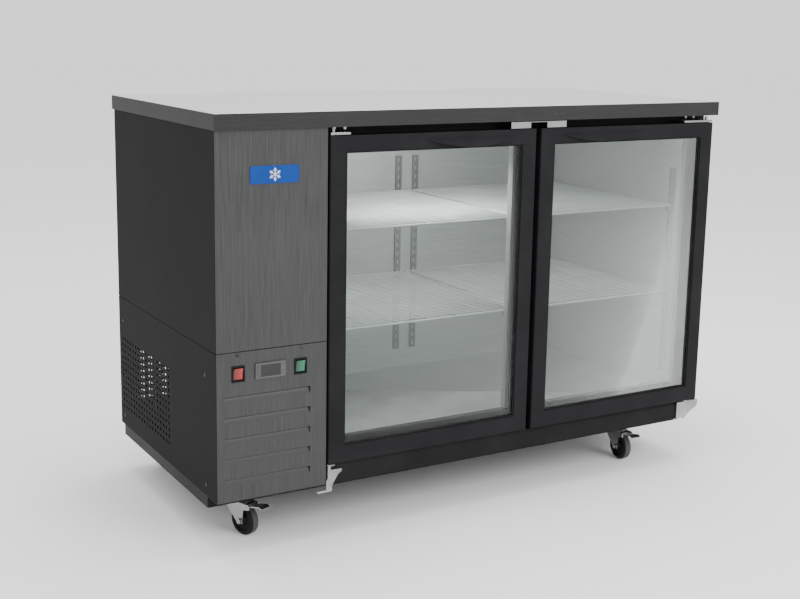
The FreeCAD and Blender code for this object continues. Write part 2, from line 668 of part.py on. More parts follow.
def shelf(name, left, right, level):
    """A wire shelf: a rim of rods, bars from front to back and a row of wires across on top of them."""
    body = new_body(name)
    low = f"{level} - 2 * rod_radius"
    depth = ("shelf_front_edge", "shelf_back_edge")
    rim = sketch_on(body, name + "_rim", "XY_Plane", low)
    draw_rectangle(rim, (left, right), depth)
    draw_rectangle(rim, inset((left, right), "2 * rod_radius"), inset(depth, "2 * rod_radius"))
    pad(body, rim, "2 * rod_radius")
    bars = sketch_on(body, name + "_bars", "XY_Plane", low)
    step = f"(({right}) - ({left})) / (brace_count + 1)"
    draw_rectangle(bars, (f"{left} + {step} - wire_radius", f"{left} + {step} + wire_radius"),
                   inset(depth, "rod_radius"))
    bar_pad = pad(body, bars, "2 * rod_radius - wire_radius")
    repeat(body, [bar_pad], bars, "H_Axis", step, "brace_count")
    wire = sketch_on(body, name + "_wire", "XY_Plane", f"{level} - 2 * wire_radius")
    first = "shelf_front_edge + 2 * rod_radius + wire_margin"
    draw_rectangle(wire, inset((left, right), "rod_radius"), (first, f"{first} + 2 * wire_radius"))
    wire_pad = pad(body, wire, "2 * wire_radius")
    span = "shelf_back_edge - shelf_front_edge - 4 * rod_radius - 2 * wire_margin - 2 * wire_radius"
    count = math.floor(amount_of(f"({span}) / wire_pitch")) + 1
    repeat(body, [wire_pad], wire, "V_Axis", "wire_pitch", str(count))
    node(name, body)


def shelves():
    bays = {
        "left": ("room_left + shelf_end_gap", "door_middle - shelf_split / 2"),
        "right": ("door_middle + shelf_split / 2", "room_right - shelf_end_gap"),
    }
    for side, (left, right) in bays.items():
        for level in ("upper", "lower"):
            shelf(f"{level}_{side}_shelf", left, right, level + "_shelf")


# ---- doors --------------------------------------------------------------------------------------

DOOR_EDGES = {
    "left": ("doors_left", "doors_left + door_width"),
    "right": ("doors_right - door_width", "doors_right"),
}
PIN_PLACES = {
    "left": "doors_left + pin_inset",
    "right": "doors_right - pin_inset",
}


def inset(span, first, second=None):
    return (f"{span[0]} + ({first})", f"{span[1]} - ({second or first})")


def door_frame(side):
    name = side + "_door_frame"
    width = DOOR_EDGES[side]
    body = new_body(name)
    outline = sketch_on(body, name + "_outline", "XZ_Plane", "-door_front")
    draw_rectangle(outline, width, ("door_bottom", "door_top"))
    draw_rectangle(outline, inset(width, "stile_width"), ("opening_bottom", "opening_top"))
    pad(body, outline, "door_thickness", backwards=True)
    grip = sketch_on(body, name + "_glazing", "XZ_Plane", "-glass_front")
    draw_rectangle(grip, inset(width, "stile_width - glazing_grip"),
                   ("opening_bottom - glazing_grip", "opening_top + glazing_grip"))
    pocket(body, grip, "door_thickness - glass_recess")
    holes = sketch_on(body, name + "_pin_holes", "XY_Plane", "door_bottom")
    draw_circle(holes, "pin_radius + pin_play", PIN_PLACES[side], "pin_line")
    pocket(body, holes, "pin_engage + 1", backwards=True)
    upper = sketch_on(body, name + "_upper_pin_hole", "XY_Plane", "door_top")
    draw_circle(upper, "pin_radius + pin_play", PIN_PLACES[side], "pin_line")
    pocket(body, upper, "pin_engage + 1")
    left, right = amount_of(width[0]), amount_of(width[1])
    front = amount_of("door_front")

    def outer_front_corner(middle, direction):
        upright = abs(direction.z) > 0.9
        at_side = min(abs(middle.x - left), abs(middle.x - right)) < 0.01
        return upright and at_side and abs(middle.y - front) < 0.01

    round_edges(body, "corner_radius", outer_front_corner)
    node(name, body)


def door_glass(side):
    """An insulating unit: two panes with a spacer between them."""
    width = inset(DOOR_EDGES[side], "stile_width - glazing_grip + glazing_play")
    height = ("opening_bottom - glazing_grip + glazing_play", "opening_top + glazing_grip - glazing_play")
    inner_start = "glass_front + pane + pane_space"
    outer = box(side + "_outer_pane", width, ("glass_front", "glass_front + pane"), height)
    inner = box(side + "_inner_pane", width, (inner_start, f"{inner_start} + pane"), height)
    rim = box(side + "_spacer_outside", width, ("glass_front + pane", inner_start), height)
    hollow = box(side + "_spacer_inside", inset(width, "spacer_width"),
                 ("glass_front + pane - 1", f"{inner_start} + 1"), inset(height, "spacer_width"))
    spacer = cut(side + "_spacer", rim, hollow)
    node(side + "_door_glass", group(side + "_door_glass", [outer, inner, spacer]))


def door_gasket(side):
    name = side + "_door_gasket"
    body = new_body(name)
    outline = sketch_on(body, name + "_outline", "XZ_Plane", "-door_back")
    width = inset(DOOR_EDGES[side], "gasket_inset")
    height = ("door_bottom + gasket_inset", "door_top - gasket_inset")
    draw_rectangle(outline, width, height)
    draw_rectangle(outline, inset(width, "gasket_width"), inset(height, "gasket_width"))
    pad(body, outline, "gasket_depth", backwards=True)
    node(name, body)


def door_handle(side):
    """A pressed lip with a bowed edge: fingers pull from below, behind it."""
    name = side + "_door_handle"
    if side == "left":
        finish = f"{DOOR_EDGES[side][1]} - handle_left_inset"
        ends = (f"{finish} - handle_length", finish)
    else:
        start = f"{DOOR_EDGES[side][0]} + handle_right_inset"
        ends = (start, f"{start} + handle_length")
    body = new_body(name)
    profile = sketch_on(body, name + "_profile", "YZ_Plane", ends[0])
    top = "door_top - handle_top_gap"
    draw_outline(profile, [
        ("door_front", top),
        ("door_front - handle_stand", f"{top} - handle_drop"),
        ("door_front - handle_stand", f"{top} - handle_drop - handle_sheet"),
        ("door_front", f"{top} - handle_sheet"),
    ])
    pad(body, profile, "handle_length")
    trim = sketch_on(body, name + "_bow", "XY_Plane", f"{top} - handle_drop - handle_sheet - 1")
    draw_bow(trim, ends, "door_front", "handle_stand")
    pocket(body, trim, "handle_drop + handle_sheet + 2", backwards=True)
    node(name, body)


def draw_bow(sketch, ends, line, reach):
    """The outline in front of a bow whose chord lies on the door and whose middle stands out by reach."""
    bow_radius = f"((handle_length / 2)^2 + {reach}^2) / (2 * {reach})"
    start = (ends[0], line)
    finish = (ends[1], line)
    far = f"{line} - {reach} - 5"
    radius = amount_of(bow_radius)
    middle = (amount_of(ends[0]) + amount_of(ends[1])) / 2
    crest = amount_of(f"{line} - {reach}")
    half_angle = math.asin(amount_of("handle_length / 2") / radius)
    circle = Part.Circle(FreeCAD.Vector(middle, crest + radius, 0), FreeCAD.Vector(0, 0, 1), radius)
    down = -math.pi / 2
    arc = sketch.addGeometry(Part.ArcOfCircle(circle, down - half_angle, down + half_angle))
    pin_point(sketch, arc, 1, *start)
    pin_point(sketch, arc, 2, *finish)
    index = sketch.addConstraint(Sketcher.Constraint("Radius", arc, radius))
    sketch.setExpression(f"Constraints[{index}]", formula(bow_radius))
    corners = [finish, (f"{ends[1]} + 5", line), (f"{ends[1]} + 5", far), (f"{ends[0]} - 5", far),
               (f"{ends[0]} - 5", line), start]
    places = [FreeCAD.Vector(amount_of(x), amount_of(y), 0) for x, y in corners]
    lines = []
    for first, second in zip(places, places[1:]):
        lines.append(sketch.addGeometry(Part.LineSegment(first, second)))
    sketch.addConstraint(Sketcher.Constraint("Coincident", arc, 2, lines[0], 1))
    for first, second in zip(lines, lines[1:]):
        sketch.addConstraint(Sketcher.Constraint("Coincident", first, 2, second, 1))
    sketch.addConstraint(Sketcher.Constraint("Coincident", lines[-1], 2, arc, 1))
    for curve, (x, y) in zip(lines[1:], corners[1:-1]):
        pin_point(sketch, curve, 1, x, y)


def doors():
    for side in DOOR_EDGES:
        door_frame(side)
        door_glass(side)
        door_gasket(side)
        door_handle(side)


# ---- hinges and lock ----------------------------------------------------------------------------

def upper_hinge(side):
    """A flat bracket over the door, on the face frame, with its pin pointing down."""
    pin_x = PIN_PLACES[side]
    name = f"upper_{side}_hinge"
    height = ("door_top + bracket_play", "door_top + bracket_play + bracket_sheet")
    if side == "left":
        span = (f"{pin_x} - bracket_margin", f"{pin_x} - bracket_margin + upper_left_reach")
    else:
        span = (f"{pin_x} + bracket_margin - upper_right_reach", f"{pin_x} + bracket_margin")
    plate = box(name + "_plate", span, ("pin_line - bracket_margin", "seal_plane"), height)
    pin = rod(name + "_pin", "z", "pin_radius", "door_top - pin_engage", height[1], (pin_x, "pin_line"))
    return fuse(name, [plate, pin])


# Outlines of the lower brackets' aprons, as steps from the door's lower outer corner.
APRONS = {
    "left": [(1, -4), (1, -35), (-3, -44), (-3, -68), (12, -68), (13, -55), (20, -43), (29, -29),
             (39, -22), (38, -16), (9, -16), (9, -4)],
    "right": [(-65, -4), (-65, -54), (-50, -50), (-35, -54), (-25, -43), (-12, -34), (4, -26),
              (12, -20), (12, -4)],
}


def lower_hinge(side):
    """An apron on the kick rail, a seat under the door's corner and a pin pointing up."""
    pin_x = PIN_PLACES[side]
    name = f"lower_{side}_hinge"
    corner = "doors_left" if side == "left" else "doors_right"
    apron = new_body(name + "_apron")
    outline = sketch_on(apron, name + "_outline", "XZ_Plane", "-kick_front")
    draw_outline(outline, [(f"{corner} + ({x})", f"door_bottom + ({z})") for x, z in APRONS[side]])
    pad(apron, outline, "apron_sheet")
    span = (f"{pin_x} - bracket_margin", f"{pin_x} + bracket_margin")
    seat = box(name + "_seat", span, ("kick_front - apron_sheet", "kick_front + kick_bevel / 2"),
               ("kick_top", "kick_top + seat_sheet"))
    pad_disc = rod(name + "_disc", "z", "seat_radius", "kick_top", "kick_top + seat_sheet",
                   (pin_x, "pin_line"))
    pin = rod(name + "_pin", "z", "pin_radius", "kick_top", "door_bottom + pin_engage", (pin_x, "pin_line"))
    pieces = [apron, seat, pad_disc, pin]
    if side == "left":
        start = "doors_left - tab_length"
        pieces.append(box(name + "_tab", (start, f"{start} + tab_width"),
                          ("kick_front - apron_sheet", "kick_front"),
                          ("door_bottom - tab_drop", "door_bottom - tab_drop + bracket_sheet")))
    return fuse(name, pieces)


def hinges_and_lock():
    node("upper_hinges", group("upper_hinges", [upper_hinge(side) for side in DOOR_EDGES]))
    node("lower_hinges", group("lower_hinges", [lower_hinge(side) for side in DOOR_EDGES]))
    top = "door_top + bracket_play + lock_height"
    pieces = []
    for name, sign in (("left_lock", "-"), ("right_lock", "+")):
        middle = f"door_middle {sign} lock_spacing / 2"
        pieces.append(box(name, (f"{middle} - lock_width / 2", f"{middle} + lock_width / 2"),
                          ("door_front + 1", "door_front + 1 + lock_sheet"),
                          ("door_top + bracket_play", top)))
    half = "(lock_spacing + lock_width) / 2"
    pieces.append(box("lock_bar", (f"door_middle - {half}", f"door_middle + {half}"),
                      ("door_front + 1", "seal_plane"), (top, f"{top} + lock_sheet")))
    node("lock_bracket", fuse("lock_bracket", pieces))


# ---- controls -----------------------------------------------------------------------------------

def switch(name, middle):
    """A square bezel in the panel, and the rocker that tips in it."""
    x = (f"left_end + {middle} - switch_width / 2", f"left_end + {middle} + switch_width / 2")
    z = ("switch_low", "switch_low + switch_height")
    rim = box(name + "_rim", x, ("body_front - bezel_reach", "body_front"), z)
    sleeve = box(name + "_sleeve", inset(x, "bezel_rim - bezel_wall"),
                 ("body_front", "body_front + rocker_depth + 8"), inset(z, "bezel_rim - bezel_wall"))
    well = box(name + "_well", inset(x, "bezel_rim"),
               ("body_front - bezel_reach - 1", "body_front + rocker_depth + 6"), inset(z, "bezel_rim"))
    bezel = cut(name + "_bezel", fuse(name + "_bezel_blank", [rim, sleeve]), well)
    body = new_body(name + "_rocker")
    profile = sketch_on(body, name + "_rocker_profile", "YZ_Plane",
                        f"left_end + {middle} - switch_width / 2 + bezel_rim + rocker_play")
    half = "(switch_height / 2 - bezel_rim - rocker_play)"
    draw_outline(profile, [
        ("-2.5", f"{half} - 0.6"),
        ("-1.2", "0"),
        ("-2.5", f"-{half} + 0.6"),
        ("4", f"-{half} + 2.2"),
        ("rocker_depth - 5", "-3"),
        ("rocker_depth - 5", "3"),
        ("4", f"{half} - 2.2"),
    ])
    pad(body, profile, "switch_width - 2 * bezel_rim - 2 * rocker_play")
    tilt = FreeCAD.Rotation(FreeCAD.Vector(1, 0, 0), amount_of("rocker_tilt"))
    body.Placement = FreeCAD.Placement(FreeCAD.Vector(), tilt)
    move(body, "0", "body_front + 1", "switch_low + switch_height / 2")
    node(name + "_rocker", body)
    return bezel


def controller():
    """A box behind the panel with a face that holds the window and four keys."""
    x = ("left_end + controller_middle - controller_width / 2",
         "left_end + controller_middle + controller_width / 2")
    z = ("controller_low", "controller_low + controller_height")
    face = box("controller_face", x, ("body_front - controller_reach", "body_front"), z)
    case = box("controller_case", inset(x, "controller_lip"), ("body_front", "body_front + controller_depth"),
               inset(z, "controller_lip"))
    window = box("window_recess", inset(x, "(controller_width - window_width) / 2"),
                 ("body_front - controller_reach - 1", "body_front - controller_reach + 1"),
                 inset(z, "(controller_height - window_height) / 2"))
    holes = []
    front = "body_front - controller_reach - button_reach"
    for name, (bx, bz) in BUTTON_PLACES.items():
        width = (f"{bx} - button_width / 2", f"{bx} + button_width / 2")
        height = (f"{bz} - button_height / 2", f"{bz} + button_height / 2")
        holes.append(box(name + "_hole", inset(width, "-button_play"),
                         (f"{front} - 1", f"{front} + button_depth + 1.5"), inset(height, "-button_play")))
        node(name, box(name, width, (front, f"{front} + button_depth"), height))
    node("controller", cut("controller", fuse("controller_blank", [face, case]), window, *holes))


BUTTON_PLACES = {}
for column, sign in (("left", "-"), ("right", "+")):
    for level, way in (("upper", "+"), ("lower", "-")):
        BUTTON_PLACES[f"{level}_{column}_button"] = (
            f"left_end + controller_middle {sign} (controller_width / 2 + window_width / 2) / 2",
            f"controller_low + controller_height / 2 {way} button_rise")


def controls():
    bezels = [switch("red", "red_switch"), switch("green", "green_switch")]
    node("switch_bezels", group("switch_bezels", bezels))
    controller()


# ---- casters ------------------------------------------------------------------------------------

CASTERS = {
    "front_left": ("left_end + left_caster", "top_front + front_caster", 21),
    "front_right": ("right_end - right_caster", "top_front + front_caster", -4),
    "rear_left": ("left_end + left_caster", "top_back - rear_caster", 180),
    "rear_right": ("right_end - right_caster", "top_back - rear_caster", 180),
}


def stand(piece, corner):
    """Turn a caster piece about the upright swivel axis and set it under the base."""
    x, y, yaw = CASTERS[corner]
    piece.Placement = FreeCAD.Placement(FreeCAD.Vector(), FreeCAD.Rotation(FreeCAD.Vector(0, 0, 1), yaw))
    move(piece, x, y)


def caster_plate(corner):
    """The fixed half of a caster: its plate, its race and the king pin that the fork turns on."""
    x, y = CASTERS[corner][:2]
    fork_under = "fork_top - fork_sheet - fork_clear"
    plate = box(f"{corner}_plate", (f"{x} - plate_size / 2", f"{x} + plate_size / 2"),
                (f"{y} - plate_size / 2", f"{y} + plate_size / 2"),
                 ("base_bottom - plate_sheet", "base_bottom"))
    race = rod(f"{corner}_race", "z", "race_radius", "fork_top + fork_clear",
               "base_bottom - plate_sheet", (x, y))
    king = rod(f"{corner}_king", "z", "king_radius", fork_under, "fork_top + fork_clear", (x, y))
    head = rod(f"{corner}_king_head", "z", "king_head", f"{fork_under} - king_head_height",
               fork_under, (x, y))
    return fuse(f"{corner}_caster_plate", [plate, race, king, head])


def caster_fork(corner):
    """Two cheeks and a bridge with a round head. The wheel trails behind the swivel axis."""
    name = f"{corner}_caster_fork"
    body = new_body(name + "_yoke")
    braked = corner.startswith("front")
    side = sketch_on(body, name + "_side", "YZ_Plane")
    nose = "-trail - pedal_ahead - 7" if braked else "-trail - 8"
    draw_outline(side, [
        ("-trail - 9", "wheel_radius - 6"),
        ("-trail + 9", "wheel_radius - 6"),
        ("head_radius * 0.9", "fork_top - 12"),
        ("head_radius * 0.9", "fork_top"),
        (nose, "fork_top"),
        (f"{nose} - 1", "fork_top - 12"),
        ("-trail - 12", "fork_top - 16"),
        ("-trail - 9", "wheel_radius + 8"),
    ])
    pad(body, side, "fork_width", both_ways=True)
    gap = sketch_on(body, name + "_gap", "XZ_Plane", "0")
    draw_rectangle(gap, ("-fork_width / 2 + fork_sheet", "fork_width / 2 - fork_sheet"),
                   ("0", "fork_top - fork_sheet"))
    pocket(body, gap, "4 * head_radius + 2 * trail", both_ways=True)
    axle_hole = sketch_on(body, name + "_axle_hole", "YZ_Plane")
    draw_circle(axle_hole, "axle_radius + axle_play", "-trail", "wheel_radius")
    pocket(body, axle_hole, "fork_width + 2", both_ways=True)
    king_hole = sketch_on(body, name + "_king_hole", "XY_Plane", "fork_top")
    draw_circle(king_hole, "king_radius + king_play", "0", "0")
    pocket(body, king_hole, "fork_sheet + 1")
    if braked:
        window = sketch_on(body, name + "_pedal_window", "XY_Plane", "fork_top")
        draw_rectangle(window, ("-fork_width / 2 + fork_sheet", "fork_width / 2 - fork_sheet"),
                       ("-trail - pedal_ahead - 20", "-trail - pedal_ahead + 12"))
        pocket(body, window, "fork_sheet + 1")
        pin_hole = sketch_on(body, name + "_pedal_pin_hole", "YZ_Plane")
        draw_circle(pin_hole, "pedal_pin", "-trail - pedal_ahead", "pedal_pivot")
        pocket(body, pin_hole, "fork_width + 2", both_ways=True)
    axle = ("-trail", "wheel_radius")
    near = "fork_width / 2 + axle_play"
    far = "fork_width / 2 + axle_reach"
    shaft = rod(name + "_shaft", "x", "axle_radius", f"-({far})", far, axle)
    head = rod(name + "_head", "x", "nut_radius", f"-({far})", f"-({near})", axle)
    nut = rod(name + "_nut", "x", "nut_radius", near, far, axle)
    pieces = [body, fuse(name + "_axle", [shaft, head, nut])]
    if braked:
        pieces.append(rod(name + "_pedal_pin", "x", "pedal_pin", "-fork_width / 2 - 1", "fork_width / 2 + 1",
                          ("-trail - pedal_ahead", "pedal_pivot")))
    fork = group(name, pieces)
    stand(fork, corner)
    node(name, fork)


def caster_wheel(corner):
    """A tyre and hub turned about the axle."""
    name = f"{corner}_caster_wheel"
    body = new_body(name)
    half = sketch_on(body, name + "_section", "XZ_Plane", "trail")
    draw_outline(half, [
        ("-hub_width / 2", "wheel_radius + axle_radius + axle_play"),
        ("hub_width / 2", "wheel_radius + axle_radius + axle_play"),
        ("hub_width / 2", "wheel_radius + hub_radius - 3"),
        ("wheel_width / 2 - 5", "wheel_radius + hub_radius"),
        ("wheel_width / 2 - 5", "2 * wheel_radius - 12"),
        ("wheel_width / 2", "2 * wheel_radius - 10"),
        ("wheel_width / 2", "2 * wheel_radius - 4"),
        ("wheel_width / 2 - 4", "2 * wheel_radius"),
        ("-wheel_width / 2 + 4", "2 * wheel_radius"),
        ("-wheel_width / 2", "2 * wheel_radius - 4"),
        ("-wheel_width / 2", "2 * wheel_radius - 10"),
        ("-wheel_width / 2 + 5", "2 * wheel_radius - 12"),
        ("-wheel_width / 2 + 5", "wheel_radius + hub_radius"),
        ("-hub_width / 2", "wheel_radius + hub_radius - 3"),
    ])
    ends = [FreeCAD.Vector(side * amount_of("hub_width"), amount_of("wheel_radius"), 0) for side in (-1, 1)]
    axis = half.addGeometry(Part.LineSegment(*ends), True)
    pin_point(half, axis, 1, "-hub_width", "wheel_radius")
    pin_point(half, axis, 2, "hub_width", "wheel_radius")
    turn = body.newObject("PartDesign::Revolution", name + "_turn")
    turn.Profile = half
    turn.ReferenceAxis = (half, ["Axis0"])
    turn.Angle = 360
    document.recompute()
    stand(body, corner)
    node(name, body)


def brake_pedal(corner):
    """A pressed pedal that pivots on a pin between the fork's ears."""
    name = f"{corner}_brake_pedal"
    body = new_body(name)
    side = sketch_on(body, name + "_side", "YZ_Plane")
    front = "-trail - pedal_ahead"
    draw_outline(side, [
        (f"{front} + 5", "pedal_pivot + 3.5"),
        (f"{front} - 10", "pedal_pivot + 4"),
        (f"{front} - pedal_length + 8", "pedal_pivot + 10"),
        (f"{front} - pedal_length", "pedal_pivot + 6"),
        (f"{front} - pedal_length + 1", "pedal_pivot + 6 - pedal_sheet"),
        (f"{front} - pedal_length + 8", "pedal_pivot + 10 - pedal_sheet"),
        (f"{front} - 9", "pedal_pivot + 4 - pedal_sheet"),
        (f"{front} - 5", "pedal_pivot - 4"),
        (f"{front} + 1", "pedal_pivot - 4"),
        (f"{front} + 5", "pedal_pivot"),
    ])
    pad(body, side, "pedal_width", both_ways=True)
    hole = sketch_on(body, name + "_pin_hole", "YZ_Plane")
    draw_circle(hole, "pedal_pin + axle_play", front, "pedal_pivot")
    pocket(body, hole, "pedal_width + 2", both_ways=True)
    stand(body, corner)
    node(name, body)


def casters():
    node("caster_plates", group("caster_plates", [caster_plate(corner) for corner in CASTERS]))
    for corner in CASTERS:
        caster_fork(corner)
        caster_wheel(corner)
        if corner.startswith("front"):
            brake_pedal(corner)


# ---- refrigeration ------------------------------------------------------------------------------

def fan_blade(name, x, y, z):
    """A hub with five pitched blades, turning about X."""
    body = new_body(name)
    hub = sketch_on(body, name + "_hub", "YZ_Plane")
    draw_circle(hub, "fan_hub", "0", "0")
    draw_circle(hub, "shaft_radius + shaft_play", "0", "0")
    pad(body, hub, "fan_depth - 2")
    blade = sketch_on(body, name + "_blade", "XY_Plane", "fan_root")
    draw_outline(blade, [("1", "-fan_hub"), ("3", "-fan_hub"), ("fan_depth - 3", "fan_root"),
                         ("fan_depth - 5", "fan_root")])
    blade_pad = pad(body, blade, "fan_radius - fan_root - 2")
    ring = body.newObject("PartDesign::PolarPattern", name + "_ring")
    ring.Originals = [blade_pad]
    ring.Axis = (hub, ["N_Axis"])
    ring.Angle = 360
    ring.Occurrences = 5
    body.Tip = ring
    document.recompute()
    move(body, x, y, z)
    node(name, body)


def fan_motor(name, x, y, z):
    """A motor behind a fan, with the shaft that its blade sits on and the bar that it is bolted by."""
    front = f"{x} - motor_gap"
    can = rod(name + "_can", "x", "motor_radius", f"{front} - motor_length", front, (y, z))
    shaft = rod(name + "_shaft", "x", "shaft_radius", front, f"{front} + fan_depth", (y, z))
    bar = box(name + "_bar", (f"{x} - motor_length", f"{x} - motor_length + 3"),
              (f"{y} - motor_radius - motor_wing", f"{y} + motor_radius + motor_wing"),
              (f"{z} - 10", f"{z} + 10"))
    return fuse(name, [can, shaft, bar])


def coil(name, x, y, z):
    """A fin-and-tube block: a row of fins with tubes through them."""
    body = new_body(name)
    plate = sketch_on(body, name + "_fin", "YZ_Plane", x[0])
    draw_rectangle(plate, (y[0], f"{y[0]} + fin_sheet"), z)
    fin = pad(body, plate, f"({x[1]}) - ({x[0]})")
    count = math.floor(amount_of(f"(({y[1]}) - ({y[0]}) - fin_sheet) / fin_pitch")) + 1
    repeat(body, [fin], plate, "H_Axis", "fin_pitch", str(count))
    tubes = sketch_on(body, name + "_tubes", "XZ_Plane", f"-({y[0]})")
    for level in range(1, 6):
        for column in (1, 3):
            draw_circle(tubes, "coil_tube", f"{x[0]} + (({x[1]}) - ({x[0]})) * {column} / 4",
                        f"{z[0]} + (({z[1]}) - ({z[0]})) * {level} / 6")
    pad(body, tubes, f"fin_pitch * ({count} - 1) + fin_sheet", backwards=True)
    node(name, body)


def compressor():
    """A domed steel shell on a foot plate, with its relay box on the side."""
    body = new_body("compressor")
    section = sketch_on(body, "compressor_section", "XZ_Plane")
    top = "compressor_height"
    draw_outline(section, [
        ("0", "12"), ("compressor_radius - 18", "12"), ("compressor_radius", "32"),
        ("compressor_radius", f"{top} - 40"), ("compressor_radius - 10", f"{top} - 16"),
        ("compressor_radius - 30", f"{top} - 3"), ("0", top),
    ])
    turn = body.newObject("PartDesign::Revolution", "compressor_turn")
    turn.Profile = section
    turn.ReferenceAxis = (section, ["V_Axis"])
    turn.Angle = 360
    foot = sketch_on(body, "compressor_foot", "XY_Plane", "0")
    draw_rectangle(foot, ("-foot_width / 2", "foot_width / 2"), ("-foot_depth / 2", "foot_depth / 2"))
    pad(body, foot, "14")
    relay = sketch_on(body, "relay_box", "XY_Plane", "40")
    draw_rectangle(relay, ("-relay_width / 2", "relay_width / 2"),
                   ("-compressor_radius - relay_depth", "-compressor_radius + 8"))
    pad(body, relay, "relay_width")
    move(body, "compressor_x", "compressor_y", "panel_bottom")
    node("compressor", body)


def tube_run(name, points):
    """A copper tube: straight runs joined by tangent arcs, swept as one pipe."""
    corners = [FreeCAD.Vector(*[amount_of(value) for value in point]) for point in points]
    radius = amount_of("tube_bend")
    edges = []
    start = corners[0]
    for before, corner, after in zip(corners, corners[1:], corners[2:]):
        inward = (before - corner).normalize()
        outward = (after - corner).normalize()
        half_turn = inward.getAngle(outward) / 2
        reach = radius / math.tan(half_turn)
        entry = corner + inward * reach
        leave = corner + outward * reach
        bisector = (inward + outward).normalize()
        middle = corner + bisector * (radius / math.sin(half_turn) - radius)
        edges.append(Part.LineSegment(start, entry).toShape())
        edges.append(Part.Arc(entry, middle, leave).toShape())
        start = leave
    edges.append(Part.LineSegment(start, corners[-1]).toShape())
    path = Part.Wire(edges)
    direction = (corners[1] - corners[0]).normalize()
    section = Part.Wire(Part.Circle(corners[0], direction, amount_of("tube_radius")).toShape())
    tube = document.addObject("Part::Feature", name)
    tube.Shape = path.makePipeShell([section], True, False)
    return tube


def cooling_fans():
    fans = {"evaporator": ("room_left - fan_wall_gap", "fan_line", "fan_level"),
            "condenser": ("condenser_left - condenser_fan_gap", "condenser_line", "condenser_level")}
    motors = []
    for name, place in fans.items():
        fan_blade(name + "_fan_blade", *place)
        motors.append(fan_motor(name + "_motor", *place))
    node("fan_motors", group("fan_motors", motors))


def coils():
    left = "skin_left + plenum_foam + coil_wall_gap"
    coil("evaporator_coil", (left, f"{left} + coil_width"), inset(("frame_back", "room_back"), "coil_margin"),
         ("plenum_floor + plenum_foam + coil_rise", "room_ceiling - coil_margin"))
    coil("condenser_coil", ("condenser_left", "condenser_left + coil_width"),
         ("condenser_line - coil_length / 2", "condenser_end"),
         ("panel_bottom + coil_floor_gap", "seam_height - coil_top_gap"))


def refrigerant_tubes():
    """The discharge tube from the compressor to the condenser, and the suction tube from the plenum above."""
    low = "panel_bottom + discharge_rise"
    high = "seam_height - discharge_drop"
    riser = "compressor_x + compressor_radius + riser_gap"
    inlet = "condenser_end - tube_bend - 3 * tube_radius"
    suction = "panel_bottom + suction_rise"
    runs = {
        "discharge_tube": [
            ("compressor_x + compressor_radius", "compressor_y", low), (riser, "compressor_y", low),
            (riser, "compressor_y", high), (riser, inlet, high),
             ("condenser_left + coil_width", inlet, high)],
        "suction_tube": [
            ("compressor_x - compressor_radius", "compressor_y", suction),
            ("body_left + suction_inset", "compressor_y", suction),
            ("body_left + suction_inset", "compressor_y", "plenum_floor")],
    }
    tubes = [tube_run(name, points) for name, points in runs.items()]
    node("refrigerant_tubes", group("refrigerant_tubes", tubes))


def drain_pan():
    x = ("body_left + pan_inset", "body_left + pan_inset + pan_width")
    y = ("skin_back - pan_back_gap - pan_depth", "skin_back - pan_back_gap")
    outside = box("pan_outside", x, y, ("panel_bottom", "panel_bottom + pan_height"))
    hollow = box("pan_inside", inset(x, "pan_sheet"), inset(y, "pan_sheet"),
                 ("panel_bottom + pan_sheet", "panel_bottom + pan_height + 1"))
    node("drain_pan", cut("drain_pan", outside, hollow))


def cord_gland():
    """A bushing in the back panel that the mains cord comes in through."""
    place = ("gland_x", "gland_z")
    stem = rod("gland_stem", "y", "gland_radius", "body_back - gland_depth", "body_back", place)
    collar = rod("gland_collar_ring", "y", "gland_collar", "body_back", "body_back + collar_reach", place)
    bore = rod("gland_bore_hole", "y", "gland_bore", "body_back - gland_depth - 1",
               "body_back + collar_reach + 1", place)
    node("cord_gland", cut("cord_gland", fuse("gland_blank", [stem, collar]), bore))


def interior_lamp():
    node("interior_lamp", box(
        "interior_lamp", inset(("room_left", "room_right"), "lamp_inset"),
        ("frame_back + lamp_setback", "frame_back + lamp_setback + lamp_width"),
        ("room_ceiling - lamp_height", "room_ceiling")))


# ---- screws -------------------------------------------------------------------------------------

FRONT_SCREWS = [("left_screw", "screw_drop"), ("right_screw", "screw_drop")]
SIDE_SCREW_COLUMNS = ("top_front + side_screw_front", "body_back - side_screw_back")
SIDE_SCREW_ROWS = ("seam_height - side_screw_drop", "panel_bottom + side_screw_rise")


def screws():
    """Pan head screws that hold the machine compartment's lower panels."""
    heads = []
    for across, down in FRONT_SCREWS:
        heads.append(rod(f"front_{across}", "y", "screw_radius", "body_front - screw_head", "body_front",
                         (f"left_end + {across}", f"seam_height - {down}")))
    for y in SIDE_SCREW_COLUMNS:
        for z in SIDE_SCREW_ROWS:
            heads.append(rod(f"side_screw_{len(heads)}", "x", "screw_radius", "body_left - screw_head",
                             "body_left", (y, z)))
    node("screws", group("screws", heads))


def check_document():
    for item in document.Objects:
        if "Invalid" in item.State or "Error" in item.State:
            raise RuntimeError(f"{item.Name} failed: {item.State}")
    for name, piece in nodes.items():
        if piece.Shape.isNull() or not piece.Shape.isValid():
            raise RuntimeError(f"{name} has no valid shape")


worktop()
panels()
base()
kick_rail()
face_frame()
insulation()
liner()
shelf_supports()
shelves()
doors()
hinges_and_lock()
controls()
casters()
cooling_fans()
coils()
compressor()
refrigerant_tubes()
drain_pan()
cord_gland()
interior_lamp()
screws()
document.recompute()
check_document()

os.makedirs("parts", exist_ok=True)
for name, piece in nodes.items():
    piece.Shape.exportStep(f"parts/{name}.step")
print(len(nodes), "sub-parts")
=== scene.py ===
import json
import math

import bpy
from mathutils import Matrix, Vector

